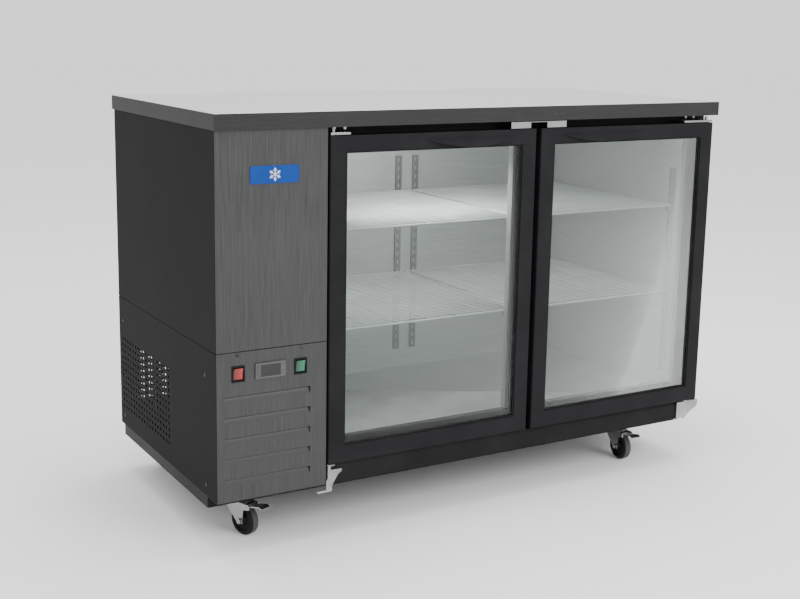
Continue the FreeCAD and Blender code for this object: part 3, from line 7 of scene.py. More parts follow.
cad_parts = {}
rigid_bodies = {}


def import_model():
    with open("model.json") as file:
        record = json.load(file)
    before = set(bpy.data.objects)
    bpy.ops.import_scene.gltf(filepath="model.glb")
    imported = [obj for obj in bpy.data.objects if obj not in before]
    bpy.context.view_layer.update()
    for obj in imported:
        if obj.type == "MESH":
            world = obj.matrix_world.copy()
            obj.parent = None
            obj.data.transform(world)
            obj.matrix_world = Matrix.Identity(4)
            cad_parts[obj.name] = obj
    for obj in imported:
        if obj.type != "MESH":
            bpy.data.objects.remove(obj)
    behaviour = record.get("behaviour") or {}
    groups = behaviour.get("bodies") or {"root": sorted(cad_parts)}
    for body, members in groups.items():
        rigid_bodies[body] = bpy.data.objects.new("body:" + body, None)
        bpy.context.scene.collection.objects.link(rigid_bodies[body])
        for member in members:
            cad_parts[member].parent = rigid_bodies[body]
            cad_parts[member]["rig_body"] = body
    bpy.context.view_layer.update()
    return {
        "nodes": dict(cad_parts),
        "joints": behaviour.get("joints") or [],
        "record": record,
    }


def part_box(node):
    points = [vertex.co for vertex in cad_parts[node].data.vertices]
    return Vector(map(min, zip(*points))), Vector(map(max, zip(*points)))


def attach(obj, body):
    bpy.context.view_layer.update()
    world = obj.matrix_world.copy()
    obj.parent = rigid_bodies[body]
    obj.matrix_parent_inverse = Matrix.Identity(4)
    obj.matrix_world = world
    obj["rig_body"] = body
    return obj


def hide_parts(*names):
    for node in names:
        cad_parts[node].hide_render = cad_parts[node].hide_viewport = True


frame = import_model()
slotOf = {part["node"]: part["material_slot"] for part in frame["record"]["subparts"]}
print("frame loaded:", len(frame["nodes"]), "nodes")


# camera, light and floor
camera = {"place": (-1.75292, -2.86146, 1.22189), "turn": (1.38213171, -0.0156657822, -0.521427244),
          "lens": 56.368, "shiftX": 0.01507, "shiftY": -0.0494}
lights = {
    "keyLight": {"place": (1.4, -4.6, 3.2), "aim": (-0.1, 0.0, 0.5), "size": 2.4, "power": 170},
    "topLight": {"place": (0.0, 0.2, 4.2), "aim": (0.0, 0.0, 1.0), "size": 3.0, "power": 120},
    "sideLight": {"place": (-4.5, -1.4, 2.0), "aim": (-0.6, 0.0, 0.5), "size": 2.0, "power": 4},
}
surroundings = {"worldTone": (0.93, 0.94, 0.95, 1), "worldStrength": 1.45, "floorTone": (0.97, 0.97, 0.97, 1),
                "floorSize": 60}


def placeCamera():
    bpy.ops.object.camera_add(location=camera["place"], rotation=camera["turn"])
    view = bpy.context.object
    view.name = "roomCamera"
    view.data.sensor_width = 36
    view.data.lens = camera["lens"]
    view.data.shift_x = camera["shiftX"]
    view.data.shift_y = camera["shiftY"]
    bpy.context.scene.camera = view


def placeLights():
    for name, facts in lights.items():
        direction = Vector(facts["aim"]) - Vector(facts["place"])
        bpy.ops.object.light_add(type="AREA", location=facts["place"],
                                 rotation=direction.to_track_quat("-Z", "Y").to_euler())
        lamp = bpy.context.object
        lamp.name = name
        lamp.data.size = facts["size"]
        lamp.data.energy = facts["power"]
    world = bpy.data.worlds.new("paleRoom")
    world.use_nodes = True
    background = world.node_tree.nodes["Background"]
    background.inputs["Color"].default_value = surroundings["worldTone"]
    background.inputs["Strength"].default_value = surroundings["worldStrength"]
    bpy.context.scene.world = world


def clearSelection():
    if bpy.context.mode != "OBJECT":
        bpy.ops.object.mode_set(mode="OBJECT")
    bpy.ops.object.select_all(action="DESELECT")


def pickUp(*things):
    clearSelection()
    for thing in things:
        thing.select_set(True)
    bpy.context.view_layer.objects.active = things[0]


clearSelection()
placeCamera()
placeLights()
print("camera and lights placed")


# shader maths: a wrapped socket that adds its Math nodes as an expression is written
class Signal:
    def __init__(self, finish, socket):
        self.finish = finish
        self.socket = socket

    def maths(self, operation, first, second):
        return self.finish.add("Math", {"operation": operation}, {0: first, 1: second})

    def __add__(self, other):
        return self.maths("ADD", self, other)

    def __sub__(self, other):
        return self.maths("SUBTRACT", self, other)

    def __mul__(self, other):
        return self.maths("MULTIPLY", self, other)

    __radd__ = __add__


class Finish:
    def __init__(self, name, **surface):
        self.material = bpy.data.materials.new(name)
        self.material.use_nodes = True
        self.tree = self.material.node_tree
        self.shader = self.tree.nodes["Principled BSDF"]
        for socket, value in surface.items():
            self.shader.inputs[socket.replace("_", " ")].default_value = value
        self.place = self.add("TexCoord", output="Object")

    def add(self, kind, settings=None, inputs=None, output=0):
        node = self.tree.nodes.new("ShaderNode" + kind)
        for key, value in (settings or {}).items():
            setattr(node, key, value)
        for key, value in (inputs or {}).items():
            if isinstance(value, Signal):
                self.tree.links.new(value.socket, node.inputs[key])
            else:
                node.inputs[key].default_value = value
        return Signal(self, node.outputs[output])

    def noise(self, scale, detail=3, stretch=(1, 1, 1)):
        spread = self.add("Mapping", {}, {"Vector": self.place, "Scale": stretch})
        return self.add("TexNoise", {}, {"Vector": spread, "Scale": scale, "Detail": detail})

    def ramp(self, signal, low, high):
        return self.add("MapRange", {}, {0: signal, 1: low, 2: high, 3: 0.0, 4: 1.0})

    def blend(self, factor, first, second):
        return self.add("Mix", {"data_type": "RGBA"}, {0: factor, 6: first, 7: second}, 2)

    def feed(self, socket, signal):
        self.tree.links.new(signal.socket, self.shader.inputs[socket])

    def relief(self, height, strength, depth):
        self.feed("Normal", self.add("Bump", {}, {"Strength": strength, "Distance": depth, "Height": height}))


def grey(value, tint=(1, 1, 1)):
    return (value * tint[0], value * tint[1], value * tint[2], 1)


# each entry: dark tone, light tone, how the grain is stretched, roughness, metal, bump, plain gloss
brushedSheets = {
    "darkPanel": {"dark": grey(0.034, (1, 1, 1.01)), "light": grey(0.068, (1, 1, 1.01)),
                  "stretch": (900, 900, 14), "rough": 0.42, "metal": 0.50, "bump": 0.10, "gloss": 0.25},
    # painted shade: the side panels are the same coated sheet as darkPanel, given a darker, non-metallic copy
    # so the cabinet's sides look shaded
    "paintedShadeSide": {"dark": grey(0.008, (1, 1, 1.02)), "light": grey(0.018, (1, 1, 1.02)),
                 "stretch": (900, 900, 14), "rough": 0.62, "metal": 0.0, "bump": 0.10, "gloss": 0.04},
    "bandSheet": {"dark": grey(0.022), "light": grey(0.040), "stretch": (14, 14, 900),
                  "rough": 0.50, "metal": 0.25, "bump": 0.06, "gloss": 0.10},
    "worktopSteel": {"dark": grey(0.56), "light": grey(0.66), "stretch": (10, 900, 900),
                     "rough": 0.40, "metal": 0.80, "bump": 0.05, "gloss": 0.5},
    "linerSteel": {"dark": grey(0.40), "light": grey(0.56), "stretch": (12, 12, 700),
                   "rough": 0.42, "metal": 0.45, "bump": 0.05, "gloss": 0.5},
    "stripSteel": {"dark": grey(0.20), "light": grey(0.30), "stretch": (700, 700, 12),
                   "rough": 0.36, "metal": 0.75, "bump": 0.05, "gloss": 0.5},
}


def brushedSheet(name):
    facts = brushedSheets[name]
    finish = Finish(name, Metallic=facts["metal"], Specular_IOR_Level=facts["gloss"])
    grain = finish.noise(1, 4, facts["stretch"])
    cloud = finish.noise(3.5, 4)
    streaks = finish.ramp(grain, 0.3, 0.7)
    finish.feed("Base Color", finish.blend(streaks * 0.7 + cloud * 0.3, facts["dark"], facts["light"]))
    finish.feed("Roughness", facts["rough"] + (streaks - 0.5) * 0.14 + (cloud - 0.5) * 0.12)
    finish.relief(grain, facts["bump"], 0.0004)
    return finish.material


# each entry: the tone, a worn or dusty tone, roughness, metal, grain size, bump
plainCoats = {
    "doorBlack": {"tone": grey(0.006, (1, 1, 1.15)), "worn": grey(0.012, (1, 1, 1.12)), "rough": 0.55,
                  "metal": 0.0, "grain": 520, "bump": 0.10, "coat": 0.0},
    "blackSteel": {"tone": grey(0.006), "worn": grey(0.014), "rough": 0.50, "metal": 0.2, "grain": 420,
                   "bump": 0.18, "coat": 0.0},
    "blackPlastic": {"tone": grey(0.005), "worn": grey(0.012), "rough": 0.52, "metal": 0.0, "grain": 700,
                     "bump": 0.15, "coat": 0.0},
    "greyPlastic": {"tone": grey(0.10), "worn": grey(0.07), "rough": 0.48, "metal": 0.0, "grain": 600,
                    "bump": 0.08, "coat": 0.0},
    "gasketRubber": {"tone": grey(0.006), "worn": grey(0.012), "rough": 0.72, "metal": 0.0, "grain": 300,
                     "bump": 0.12, "coat": 0.0},
    "wheelBlack": {"tone": grey(0.006), "worn": grey(0.016), "rough": 0.50, "metal": 0.0, "grain": 260,
                   "bump": 0.10, "coat": 0.0},
    "treadRubber": {"tone": grey(0.045), "worn": grey(0.09), "rough": 0.80, "metal": 0.0, "grain": 340,
                    "bump": 0.25, "coat": 0.0},
    "zincPlate": {"tone": grey(0.40, (1, 1, 1.01)), "worn": grey(0.20, (1, 0.99, 0.96)), "rough": 0.26,
                  "metal": 0.95, "grain": 90, "bump": 0.05, "coat": 0.0},
    "whiteWire": {"tone": grey(0.46), "worn": grey(0.36), "rough": 0.34, "metal": 0.0, "grain": 200,
                  "bump": 0.04, "coat": 0.3},
    "bluePlate": {"tone": (0.002, 0.040, 0.22, 1), "worn": (0.004, 0.052, 0.26, 1), "rough": 0.30,
                  "metal": 0.0, "grain": 150, "bump": 0.03, "coat": 0.1},
    "badgeWhite": {"tone": grey(0.78), "worn": grey(0.70), "rough": 0.35, "metal": 0.0, "grain": 200,
                   "bump": 0.03, "coat": 0.3},
    # painted shade: the insulation foam is pale in reality, and this near-black tone makes the machine
    # compartment look dark through the vent holes and seams
    "paintedShadeFoam": {"tone": grey(0.022), "worn": grey(0.040), "rough": 0.90,
                  "metal": 0.0, "grain": 240, "bump": 0.35, "coat": 0.0},
    "aluminiumFin": {"tone": grey(0.24), "worn": grey(0.18), "rough": 0.50, "metal": 0.9, "grain": 160,
                     "bump": 0.05, "coat": 0.0},
    "copperTube": {"tone": (0.72, 0.34, 0.20, 1), "worn": (0.42, 0.20, 0.13, 1), "rough": 0.32,
                   "metal": 0.95, "grain": 60, "bump": 0.04, "coat": 0.0},
    "windowDark": {"tone": grey(0.006), "worn": grey(0.012), "rough": 0.12, "metal": 0.0, "grain": 80,
                   "bump": 0.01, "coat": 0.6},
    "screwDark": {"tone": grey(0.035), "worn": grey(0.09), "rough": 0.36, "metal": 0.8, "grain": 300,
                  "bump": 0.05, "coat": 0.0},
}


def plainCoat(name):
    facts = plainCoats[name]
    finish = Finish(name, Metallic=facts["metal"], Coat_Weight=facts["coat"], Specular_IOR_Level=0.12)
    speckle = finish.noise(facts["grain"], 3)
    dust = finish.noise(9, 5)
    wear = finish.ramp(dust, 0.42, 0.72)
    finish.feed("Base Color", finish.blend(wear * 0.75 + speckle * 0.25, facts["tone"], facts["worn"]))
    finish.feed("Roughness", facts["rough"] + (dust - 0.5) * 0.16)
    finish.relief(speckle, facts["bump"], 0.0003)
    return finish.material


def galvanised():
    tones = {"dark": grey(0.30, (1, 1, 1.03)), "light": grey(0.48, (1, 1, 1.02)), "flake": 55}
    finish = Finish("galvanisedSheet", Metallic=0.85)
    flakes = finish.add("TexVoronoi", {}, {"Vector": finish.place, "Scale": tones["flake"]}, "Color")
    shade = finish.add("SeparateColor", {}, {0: flakes})
    finish.feed("Base Color", finish.blend(shade, tones["dark"], tones["light"]))
    finish.feed("Roughness", 0.34 + shade * 0.18)
    finish.relief(shade, 0.05, 0.0003)
    return finish.material


def litPlastic(name, tone, glow, middle, halfWidth):
    # a translucent rocker, brighter towards its lit right half
    finish = Finish(name, Roughness=0.30, Coat_Weight=0.05, Emission_Strength=0.10)
    across = finish.add("SeparateXYZ", {}, {0: finish.place})
    lit = finish.ramp(across, middle - halfWidth, middle + halfWidth)
    cloud = finish.noise(60, 3)
    finish.feed("Base Color", finish.blend(lit, tone, tuple(0.7 * a + 0.3 * b for a, b in zip(tone, glow))))
    finish.feed("Emission Color", finish.blend(lit * (0.8 + cloud * 0.2), (0.0, 0.0, 0.0, 1), glow))
    finish.relief(cloud, 0.03, 0.0002)
    return finish.material


def lampDiffuser():
    finish = Finish("lampDiffuser", Roughness=0.4, Emission_Strength=3.0)
    ribs = finish.noise(40, 2, (1, 12, 12))
    finish.feed("Base Color", finish.blend(ribs, grey(0.90), grey(0.80)))
    finish.feed("Emission Color", finish.blend(ribs, (1.0, 0.98, 0.94, 1), (0.92, 0.91, 0.88, 1)))
    return finish.material


def clearGlass():
    facts = {"tint": (0.93, 0.95, 0.94, 1), "bend": 1.45}
    finish = Finish("clearGlass", Roughness=0.03, Base_Color=(0.8, 0.85, 0.84, 1))
    smear = finish.noise(5, 4)
    through = finish.add("BsdfTransparent", {}, {"Color": facts["tint"]})
    gloss = finish.add("BsdfGlossy", {}, {"Color": (1, 1, 1, 1), "Roughness": 0.03})
    edge = finish.add("Fresnel", {}, {"IOR": facts["bend"]})
    mixed = finish.add("MixShader", {}, {0: edge * (0.26 + smear * 0.12), 1: through, 2: gloss})
    surface = finish.tree.nodes["Material Output"].inputs["Surface"]
    finish.tree.links.new(mixed.socket, surface)
    return finish.material


def floorPaint():
    finish = Finish("palePaint", Roughness=0.75)
    cloud = finish.noise(1.2, 3)
    finish.feed("Base Color", finish.blend(cloud, surroundings["floorTone"], grey(0.98)))
    return finish.material


finishes = {name: brushedSheet(name) for name in brushedSheets}
finishes.update({name: plainCoat(name) for name in plainCoats})
finishes["galvanisedSheet"] = galvanised()
finishes["lampDiffuser"] = lampDiffuser()
finishes["clearGlass"] = clearGlass()
redLow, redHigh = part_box("red_rocker")
greenLow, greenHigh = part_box("green_rocker")
finishes["redGlow"] = litPlastic("redGlow", (0.10, 0.006, 0.005, 1), (0.85, 0.05, 0.04, 1),
                                 (redLow.x + redHigh.x) / 2, (redHigh.x - redLow.x) / 2)
finishes["greenGlow"] = litPlastic("greenGlow", (0.004, 0.045, 0.022, 1), (0.03, 0.40, 0.20, 1),
                                   (greenLow.x + greenHigh.x) / 2, (greenHigh.x - greenLow.x) / 2)
print("finishes made:", len(finishes))

bpy.ops.mesh.primitive_plane_add(size=surroundings["floorSize"], location=(0, 0, 0))
floor = bpy.context.object
floor.name = "paleFloor"
floor.data.materials.append(floorPaint())


# working on meshes
def changed(thing, kind, **settings):
    pickUp(thing)
    modifier = thing.modifiers.new(kind.lower(), kind)
    for key, value in settings.items():
        setattr(modifier, key, value)
    bpy.ops.object.modifier_apply(modifier=modifier.name)


def smoothed(thing, angle=38):
    pickUp(thing)
    bpy.ops.object.shade_smooth_by_angle(angle=math.radians(angle))
    changed(thing, "WEIGHTED_NORMAL", keep_sharp=True, weight=100)


def traced(node, name):
    # a merged copy of a node's mesh, with its flat faces whole again
    piece = bpy.data.objects.new(name, frame["nodes"][node].data.copy())
    bpy.context.scene.collection.objects.link(piece)
    pickUp(piece)
    bpy.ops.mesh.customdata_custom_splitnormals_clear()
    bpy.ops.object.mode_set(mode="EDIT")
    bpy.ops.mesh.select_all(action="SELECT")
    bpy.ops.mesh.remove_doubles(threshold=0.00001)
    bpy.ops.mesh.dissolve_limited(angle_limit=math.radians(1))
    bpy.ops.object.mode_set(mode="OBJECT")
    return piece


def dressed(piece, finish, body, slot, *nodes):
    pickUp(piece)
    bpy.ops.object.transform_apply(location=True, rotation=True, scale=True)
    piece.data.materials.clear()
    piece.data.materials.append(finishes[finish])
    if nodes:
        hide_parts(*nodes)
    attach(piece, body)
    return piece


def joinedUp(name, things):
    pickUp(*things)
    bpy.ops.object.join()
    whole = bpy.context.view_layer.objects.active
    whole.name = name
    return whole


def looseParts(piece):
    pickUp(piece)
    bpy.ops.object.mode_set(mode="EDIT")
    bpy.ops.mesh.select_all(action="SELECT")
    bpy.ops.mesh.separate(type="LOOSE")
    bpy.ops.object.mode_set(mode="OBJECT")
    return list(bpy.context.selected_objects)


def reach(thing):
    corners = [thing.matrix_world @ v.co for v in thing.data.vertices]
    low = Vector(tuple(min(c[i] for c in corners) for i in range(3)))
    high = Vector(tuple(max(c[i] for c in corners) for i in range(3)))
    return low, high


def copied(thing, name, matrix):
    twin = bpy.data.objects.new(name, thing.data.copy())
    bpy.context.scene.collection.objects.link(twin)
    twin.matrix_world = matrix
    pickUp(twin)
    bpy.ops.object.transform_apply(location=True, rotation=True, scale=True)
    return twin


def straightRod(start, end, radius, sides=10):
    # a ring of points, filled and drawn out along the rod, with rounded ends
    start, end = Vector(start), Vector(end)
    along = end - start
    bpy.ops.mesh.primitive_circle_add(vertices=sides, radius=radius, fill_type="NGON", location=start,
                                      rotation=along.to_track_quat("Z", "Y").to_euler())
    rod = bpy.context.object
    bpy.ops.object.transform_apply(location=True, rotation=True, scale=True)
    bpy.ops.object.mode_set(mode="EDIT")
    bpy.ops.mesh.select_all(action="SELECT")
    bpy.ops.mesh.extrude_region_move(TRANSFORM_OT_translate={"value": along})
    bpy.ops.mesh.select_all(action="SELECT")
    bpy.ops.mesh.normals_make_consistent(inside=False)
    bpy.ops.object.mode_set(mode="OBJECT")
    return rod


def repeated(thing, step, count):
    changed(thing, "ARRAY", use_relative_offset=False, use_constant_offset=True,
            constant_offset_displace=step, count=count)


# softened copies of the machined, folded and moulded pieces: edge radius in metres and the finish
softEdges = {
    "worktop_sheet": (0.0007, "worktopSteel"), "worktop_band": (0.0004, "bandSheet"),
    "front_upper_panel": (0.0005, "darkPanel"), "service_panel": (0.0004, "darkPanel"),
    # the left and right side panels take the darker painted-shade copy of the panel sheet
    "left_vent_panel": (0.0003, "paintedShadeSide"), "left_upper_panel": (0.0004, "paintedShadeSide"),
    "right_side_panel": (0.0005, "paintedShadeSide"), "back_panel": (0.0004, "galvanisedSheet"),
    "badge_plate": (0.0006, "bluePlate"), "base_frame": (0.0006, "blackSteel"),
    "kick_rail": (0.0010, "blackSteel"), "face_frame": (0.0008, "blackPlastic"),
    "left_door_frame": (0.0010, "doorBlack"), "right_door_frame": (0.0010, "doorBlack"),
    "left_door_handle": (0.0010, "doorBlack"), "right_door_handle": (0.0010, "doorBlack"),
    "upper_hinges": (0.0008, "zincPlate"), "lower_hinges": (0.0008, "zincPlate"),
    "lock_bracket": (0.0006, "zincPlate"), "red_rocker": (0.0012, "redGlow"),
    "green_rocker": (0.0012, "greenGlow"), "switch_bezels": (0.0006, "blackPlastic"),
    "controller": (0.0009, "greyPlastic"), "upper_left_button": (0.0008, "greyPlastic"),
    "upper_right_button": (0.0008, "greyPlastic"), "lower_left_button": (0.0008, "greyPlastic"),
    "lower_right_button": (0.0008, "greyPlastic"), "caster_plates": (0.0008, "zincPlate"),
    "front_left_caster_fork": (0.0007, "zincPlate"), "front_right_caster_fork": (0.0007, "zincPlate"),
    "rear_left_caster_fork": (0.0007, "zincPlate"), "rear_right_caster_fork": (0.0007, "zincPlate"),
    "front_left_brake_pedal": (0.0009, "zincPlate"), "front_right_brake_pedal": (0.0009, "zincPlate"),
    "fan_motors": (0.0015, "blackSteel"), "compressor": (0.0030, "blackSteel"),
    "drain_pan": (0.0004, "galvanisedSheet"), "cord_gland": (0.0010, "blackPlastic"),
    "interior_lamp": (0.0035, "lampDiffuser"), "inner_liner": (0.0002, "linerSteel"),
}


def softened(node, radius, finish):
    piece = traced(node, node + "_finished")
    changed(piece, "BEVEL", width=radius, segments=2, limit_method="ANGLE", angle_limit=math.radians(40))
    smoothed(piece)
    return dressed(piece, finish, frame["nodes"][node]["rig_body"], slotOf[node], node)


for nodeName, (edgeRadius, finishName) in softEdges.items():
    softened(nodeName, edgeRadius, finishName)
print("softened pieces:", len(softEdges))

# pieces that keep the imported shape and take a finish
keptShapes = {
    # the insulation takes the near-black painted-shade tone, so the compartment behind the vents looks shaded
    "insulation": "paintedShadeFoam", "evaporator_coil": "aluminiumFin",
    "condenser_coil": "aluminiumFin", "evaporator_fan_blade": "blackPlastic",
    "condenser_fan_blade": "aluminiumFin", "refrigerant_tubes": "copperTube",
}
for nodeName, finishName in keptShapes.items():
    mesh = frame["nodes"][nodeName].data
    mesh.materials.clear()
    mesh.materials.append(finishes[finishName])
print("kept shapes painted:", len(keptShapes))


# wire shelves: a round rim, bars from front to back and a row of wires over them
shelfWires = {"rim": 0.003, "bar": 0.0022, "wire": 0.0016, "pitch": 0.015, "margin": 0.016, "bars": 5,
              "corner": 0.012}


def wireShelf(node):
    low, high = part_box(node)
    rim, wire = shelfWires["rim"], shelfWires["wire"]
    middle = (low + high) / 2
    clearSelection()
    bpy.ops.mesh.primitive_plane_add(size=1, location=(middle.x, middle.y, low.z + rim))
    hoop = bpy.context.object
    hoop.scale = (high.x - low.x - 2 * rim, high.y - low.y - 2 * rim, 1)
    bpy.ops.object.transform_apply(location=True, rotation=True, scale=True)
    bpy.ops.object.mode_set(mode="EDIT")
    bpy.ops.mesh.select_all(action="SELECT")
    bpy.ops.mesh.bevel(offset=shelfWires["corner"], segments=5, affect="VERTICES")
    bpy.ops.mesh.select_all(action="SELECT")
    bpy.ops.mesh.delete(type="ONLY_FACE")
    bpy.ops.object.mode_set(mode="OBJECT")
    bpy.ops.object.convert(target="CURVE")
    hoop = bpy.context.object
    hoop.data.bevel_depth = rim
    hoop.data.bevel_resolution = 3
    bpy.ops.object.convert(target="MESH")
    hoop = bpy.context.object
    things = [hoop]
    gap = (high.x - low.x) / (shelfWires["bars"] + 1)
    bar = straightRod((low.x + gap, low.y + rim, low.z + shelfWires["bar"]),
                      (low.x + gap, high.y - rim, low.z + shelfWires["bar"]), shelfWires["bar"])
    repeated(bar, (gap, 0, 0), shelfWires["bars"])
    things.append(bar)
    first = low.y + 2 * rim + shelfWires["margin"] + wire
    last = high.y - 2 * rim - shelfWires["margin"] - wire
    strand = straightRod((low.x + rim, first, high.z - wire), (high.x - rim, first, high.z - wire), wire, 8)
    repeated(strand, (0, shelfWires["pitch"], 0), int((last - first) / shelfWires["pitch"] + 1e-6) + 1)
    things.append(strand)
    shelf = joinedUp(node + "_wires", things)
    smoothed(shelf, 50)
    dressed(shelf, "whiteWire", "cabinet", slotOf[node], node)


for level in ("upper", "lower"):
    for side in ("left", "right"):
        wireShelf(f"{level}_{side}_shelf")
print("wire shelves made")


# slotted strips for the shelf clips
stripFacts = {"pitch": 0.025, "slotMargin": 0.0068, "sheet": 0.0012, "shortest": 0.3, "clipEdge": 0.0012}


def slottedStrip(low, high):
    size = high - low
    faces = 1 if size.y < size.x else 0  # the thin way is the strip's depth
    width = size.x if faces == 1 else size.y
    depth = size.y if faces == 1 else size.x
    outward = -1 if faces == 1 else (1 if low.x + high.x < 2 * roomMiddle() else -1)
    count = int(size.z / stripFacts["pitch"])
    pitch = size.z / count
    clearSelection()
    bpy.ops.mesh.primitive_plane_add(size=1, location=(0, 0, 0))
    strip = bpy.context.object
    strip.scale = (width - stripFacts["sheet"], pitch, 1)
    bpy.ops.object.transform_apply(location=True, rotation=True, scale=True)
    bpy.ops.object.mode_set(mode="EDIT")
    bpy.ops.mesh.select_all(action="SELECT")
    bpy.ops.mesh.inset(thickness=stripFacts["slotMargin"])
    bpy.ops.mesh.delete(type="FACE")
    bpy.ops.object.mode_set(mode="OBJECT")
    changed(strip, "ARRAY", use_relative_offset=False, use_constant_offset=True,
            constant_offset_displace=(0, pitch, 0), count=count, use_merge_vertices=True,
            merge_threshold=0.0001)
    pickUp(strip)
    half = (width - stripFacts["sheet"]) / 2
    bpy.ops.object.mode_set(mode="EDIT")
    bpy.ops.mesh.select_mode(type="EDGE")
    bpy.ops.mesh.select_all(action="DESELECT")
    bpy.ops.object.mode_set(mode="OBJECT")
    for edge in strip.data.edges:
        ends = [strip.data.vertices[i].co.x for i in edge.vertices]
        edge.select = all(abs(abs(x) - half) < 0.0001 for x in ends) and ends[0] * ends[1] > 0
    bpy.ops.object.mode_set(mode="EDIT")
    bpy.ops.mesh.extrude_region_move(TRANSFORM_OT_translate={"value": (0, 0, -(depth - stripFacts["sheet"]))})
    bpy.ops.object.mode_set(mode="OBJECT")
    changed(strip, "SOLIDIFY", thickness=stripFacts["sheet"], offset=0)
    # x runs across the strip, y up it and z out of the wall
    up = Vector((0, 0, 1))
    out = Vector((0, outward, 0)) if faces == 1 else Vector((outward, 0, 0))
    across = up.cross(out)
    origin = Vector(((low.x + high.x) / 2, (low.y + high.y) / 2, low.z + pitch / 2))
    origin += out * (depth / 2 - stripFacts["sheet"] / 2)
    turn = Matrix((across, up, out)).transposed().to_4x4()
    strip.matrix_world = Matrix.Translation(origin) @ turn
    pickUp(strip)
    bpy.ops.object.transform_apply(location=True, rotation=True, scale=True)
    return strip


def roomMiddle():
    linerLow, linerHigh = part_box("inner_liner")
    return (linerLow.x + linerHigh.x) / 2


def shelfSupports():
    things = []
    for part in looseParts(traced("shelf_supports", "supportParts")):
        low, high = reach(part)
        if high.z - low.z > stripFacts["shortest"]:
            things.append(slottedStrip(low, high))
            bpy.data.objects.remove(part)
        else:
            changed(part, "BEVEL", width=stripFacts["clipEdge"], segments=2, limit_method="ANGLE")
            things.append(part)
    supports = joinedUp("shelf_supports_slotted", things)
    smoothed(supports, 30)
    dressed(supports, "stripSteel", "cabinet", slotOf["shelf_supports"], "shelf_supports")


shelfSupports()
print("slotted strips made")


# flat panes, and frames with a hole through them, drawn back from the face that shows
def upright(name, span, height, face, depth, edge, rim=None):
    clearSelection()
    bpy.ops.mesh.primitive_plane_add(size=1, rotation=(math.pi / 2, 0, 0), location=(
        (span[0] + span[1]) / 2, face, (height[0] + height[1]) / 2))
    sheet = bpy.context.object
    sheet.name = name
    sheet.scale = (span[1] - span[0], height[1] - height[0], 1)
    bpy.ops.object.transform_apply(location=True, rotation=True, scale=True)
    bpy.ops.object.mode_set(mode="EDIT")
    bpy.ops.mesh.select_all(action="SELECT")
    if rim:
        bpy.ops.mesh.inset(thickness=rim)
        bpy.ops.mesh.delete(type="FACE")
        bpy.ops.mesh.select_all(action="SELECT")
    bpy.ops.mesh.extrude_region_move(TRANSFORM_OT_translate={"value": (0, depth, 0)})
    bpy.ops.mesh.select_all(action="SELECT")
    bpy.ops.mesh.normals_make_consistent(inside=False)
    bpy.ops.object.mode_set(mode="OBJECT")
    changed(sheet, "BEVEL", width=edge, segments=2, limit_method="ANGLE")
    smoothed(sheet)
    return sheet


# door glass: two panes and the spacer that keeps them apart, with a black bead in front
glassFacts = {"pane": 0.004, "edge": 0.0006, "spacer": 0.007}
beadFacts = {"width": 0.004, "height": 0.002, "sill": 0.0415, "stile": 0.041, "rail": 0.037,
             "glassInset": 0.004, "edge": 0.0007}
sealFacts = {"round": 0.0028}


def doorGlass(side):
    node = f"{side}_door_glass"
    low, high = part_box(node)
    span, height = (low.x, high.x), (low.z, high.z)
    pane, edge = glassFacts["pane"], glassFacts["edge"]
    panes = [upright(f"{side}_outer_pane", span, height, low.y, pane, edge),
             upright(f"{side}_inner_pane", span, height, high.y - pane, pane, edge)]
    dressed(joinedUp(f"{side}_door_panes", panes), "clearGlass", f"{side}_door", slotOf[node], node)
    spacer = upright(f"{side}_glass_spacer", span, height, low.y + pane, high.y - low.y - 2 * pane, edge,
                     glassFacts["spacer"])
    dressed(spacer, "blackPlastic", f"{side}_door", "black_plastic")


def glazingBead(side):
    low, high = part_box(f"{side}_door_frame")
    span = (low.x + beadFacts["stile"], high.x - beadFacts["stile"])
    height = (low.z + beadFacts["sill"], high.z - beadFacts["rail"])
    face = low.y + beadFacts["glassInset"] - beadFacts["height"]
    bead = upright(f"{side}_glazing_bead", span, height, face, beadFacts["height"], beadFacts["edge"],
                   beadFacts["width"])
    dressed(bead, "gasketRubber", f"{side}_door", "gasket")


def doorSeal(side):
    node = f"{side}_door_gasket"
    seal = traced(node, node + "_ribbed")
    changed(seal, "BEVEL", width=sealFacts["round"], segments=3, limit_method="ANGLE",
            angle_limit=math.radians(60))
    smoothed(seal)
    dressed(seal, "gasketRubber", f"{side}_door", slotOf[node], node)


for side in ("left", "right"):
    doorGlass(side)
    glazingBead(side)
    doorSeal(side)
print("door glass, beads and seals made")


# caster wheels: a grey tread on a black wheel
wheelFacts = {"edge": 0.0012, "treadFrom": 0.031}


def casterWheel(corner):
    node = f"{corner}_caster_wheel"
    wheel = traced(node, node + "_turned")
    changed(wheel, "BEVEL", width=wheelFacts["edge"], segments=2, limit_method="ANGLE",
            angle_limit=math.radians(25))
    smoothed(wheel, 40)
    dressed(wheel, "wheelBlack", f"{corner}_wheel", slotOf[node], node)
    wheel.data.materials.append(finishes["treadRubber"])
    low, high = reach(wheel)
    hub = (low + high) / 2
    joint = [j for j in frame["joints"] if j["name"] == f"{corner}_wheel_roll"][0]
    axle = Vector(joint["axis"]).normalized()
    for face in wheel.data.polygons:
        arm = face.center - hub
        away = (arm - axle * arm.dot(axle)).length
        sideways = abs(face.normal.dot(axle))
        if away > wheelFacts["treadFrom"] and sideways < 0.5:
            face.material_index = 1


for corner in ("front_left", "front_right", "rear_left", "rear_right"):
    casterWheel(corner)
print("caster wheels made")


# the vent panel's top edge is folded in behind the seam
seamLip = {"rise": 0.006, "depth": 0.020, "margin": 0.025, "edge": 0.0003}


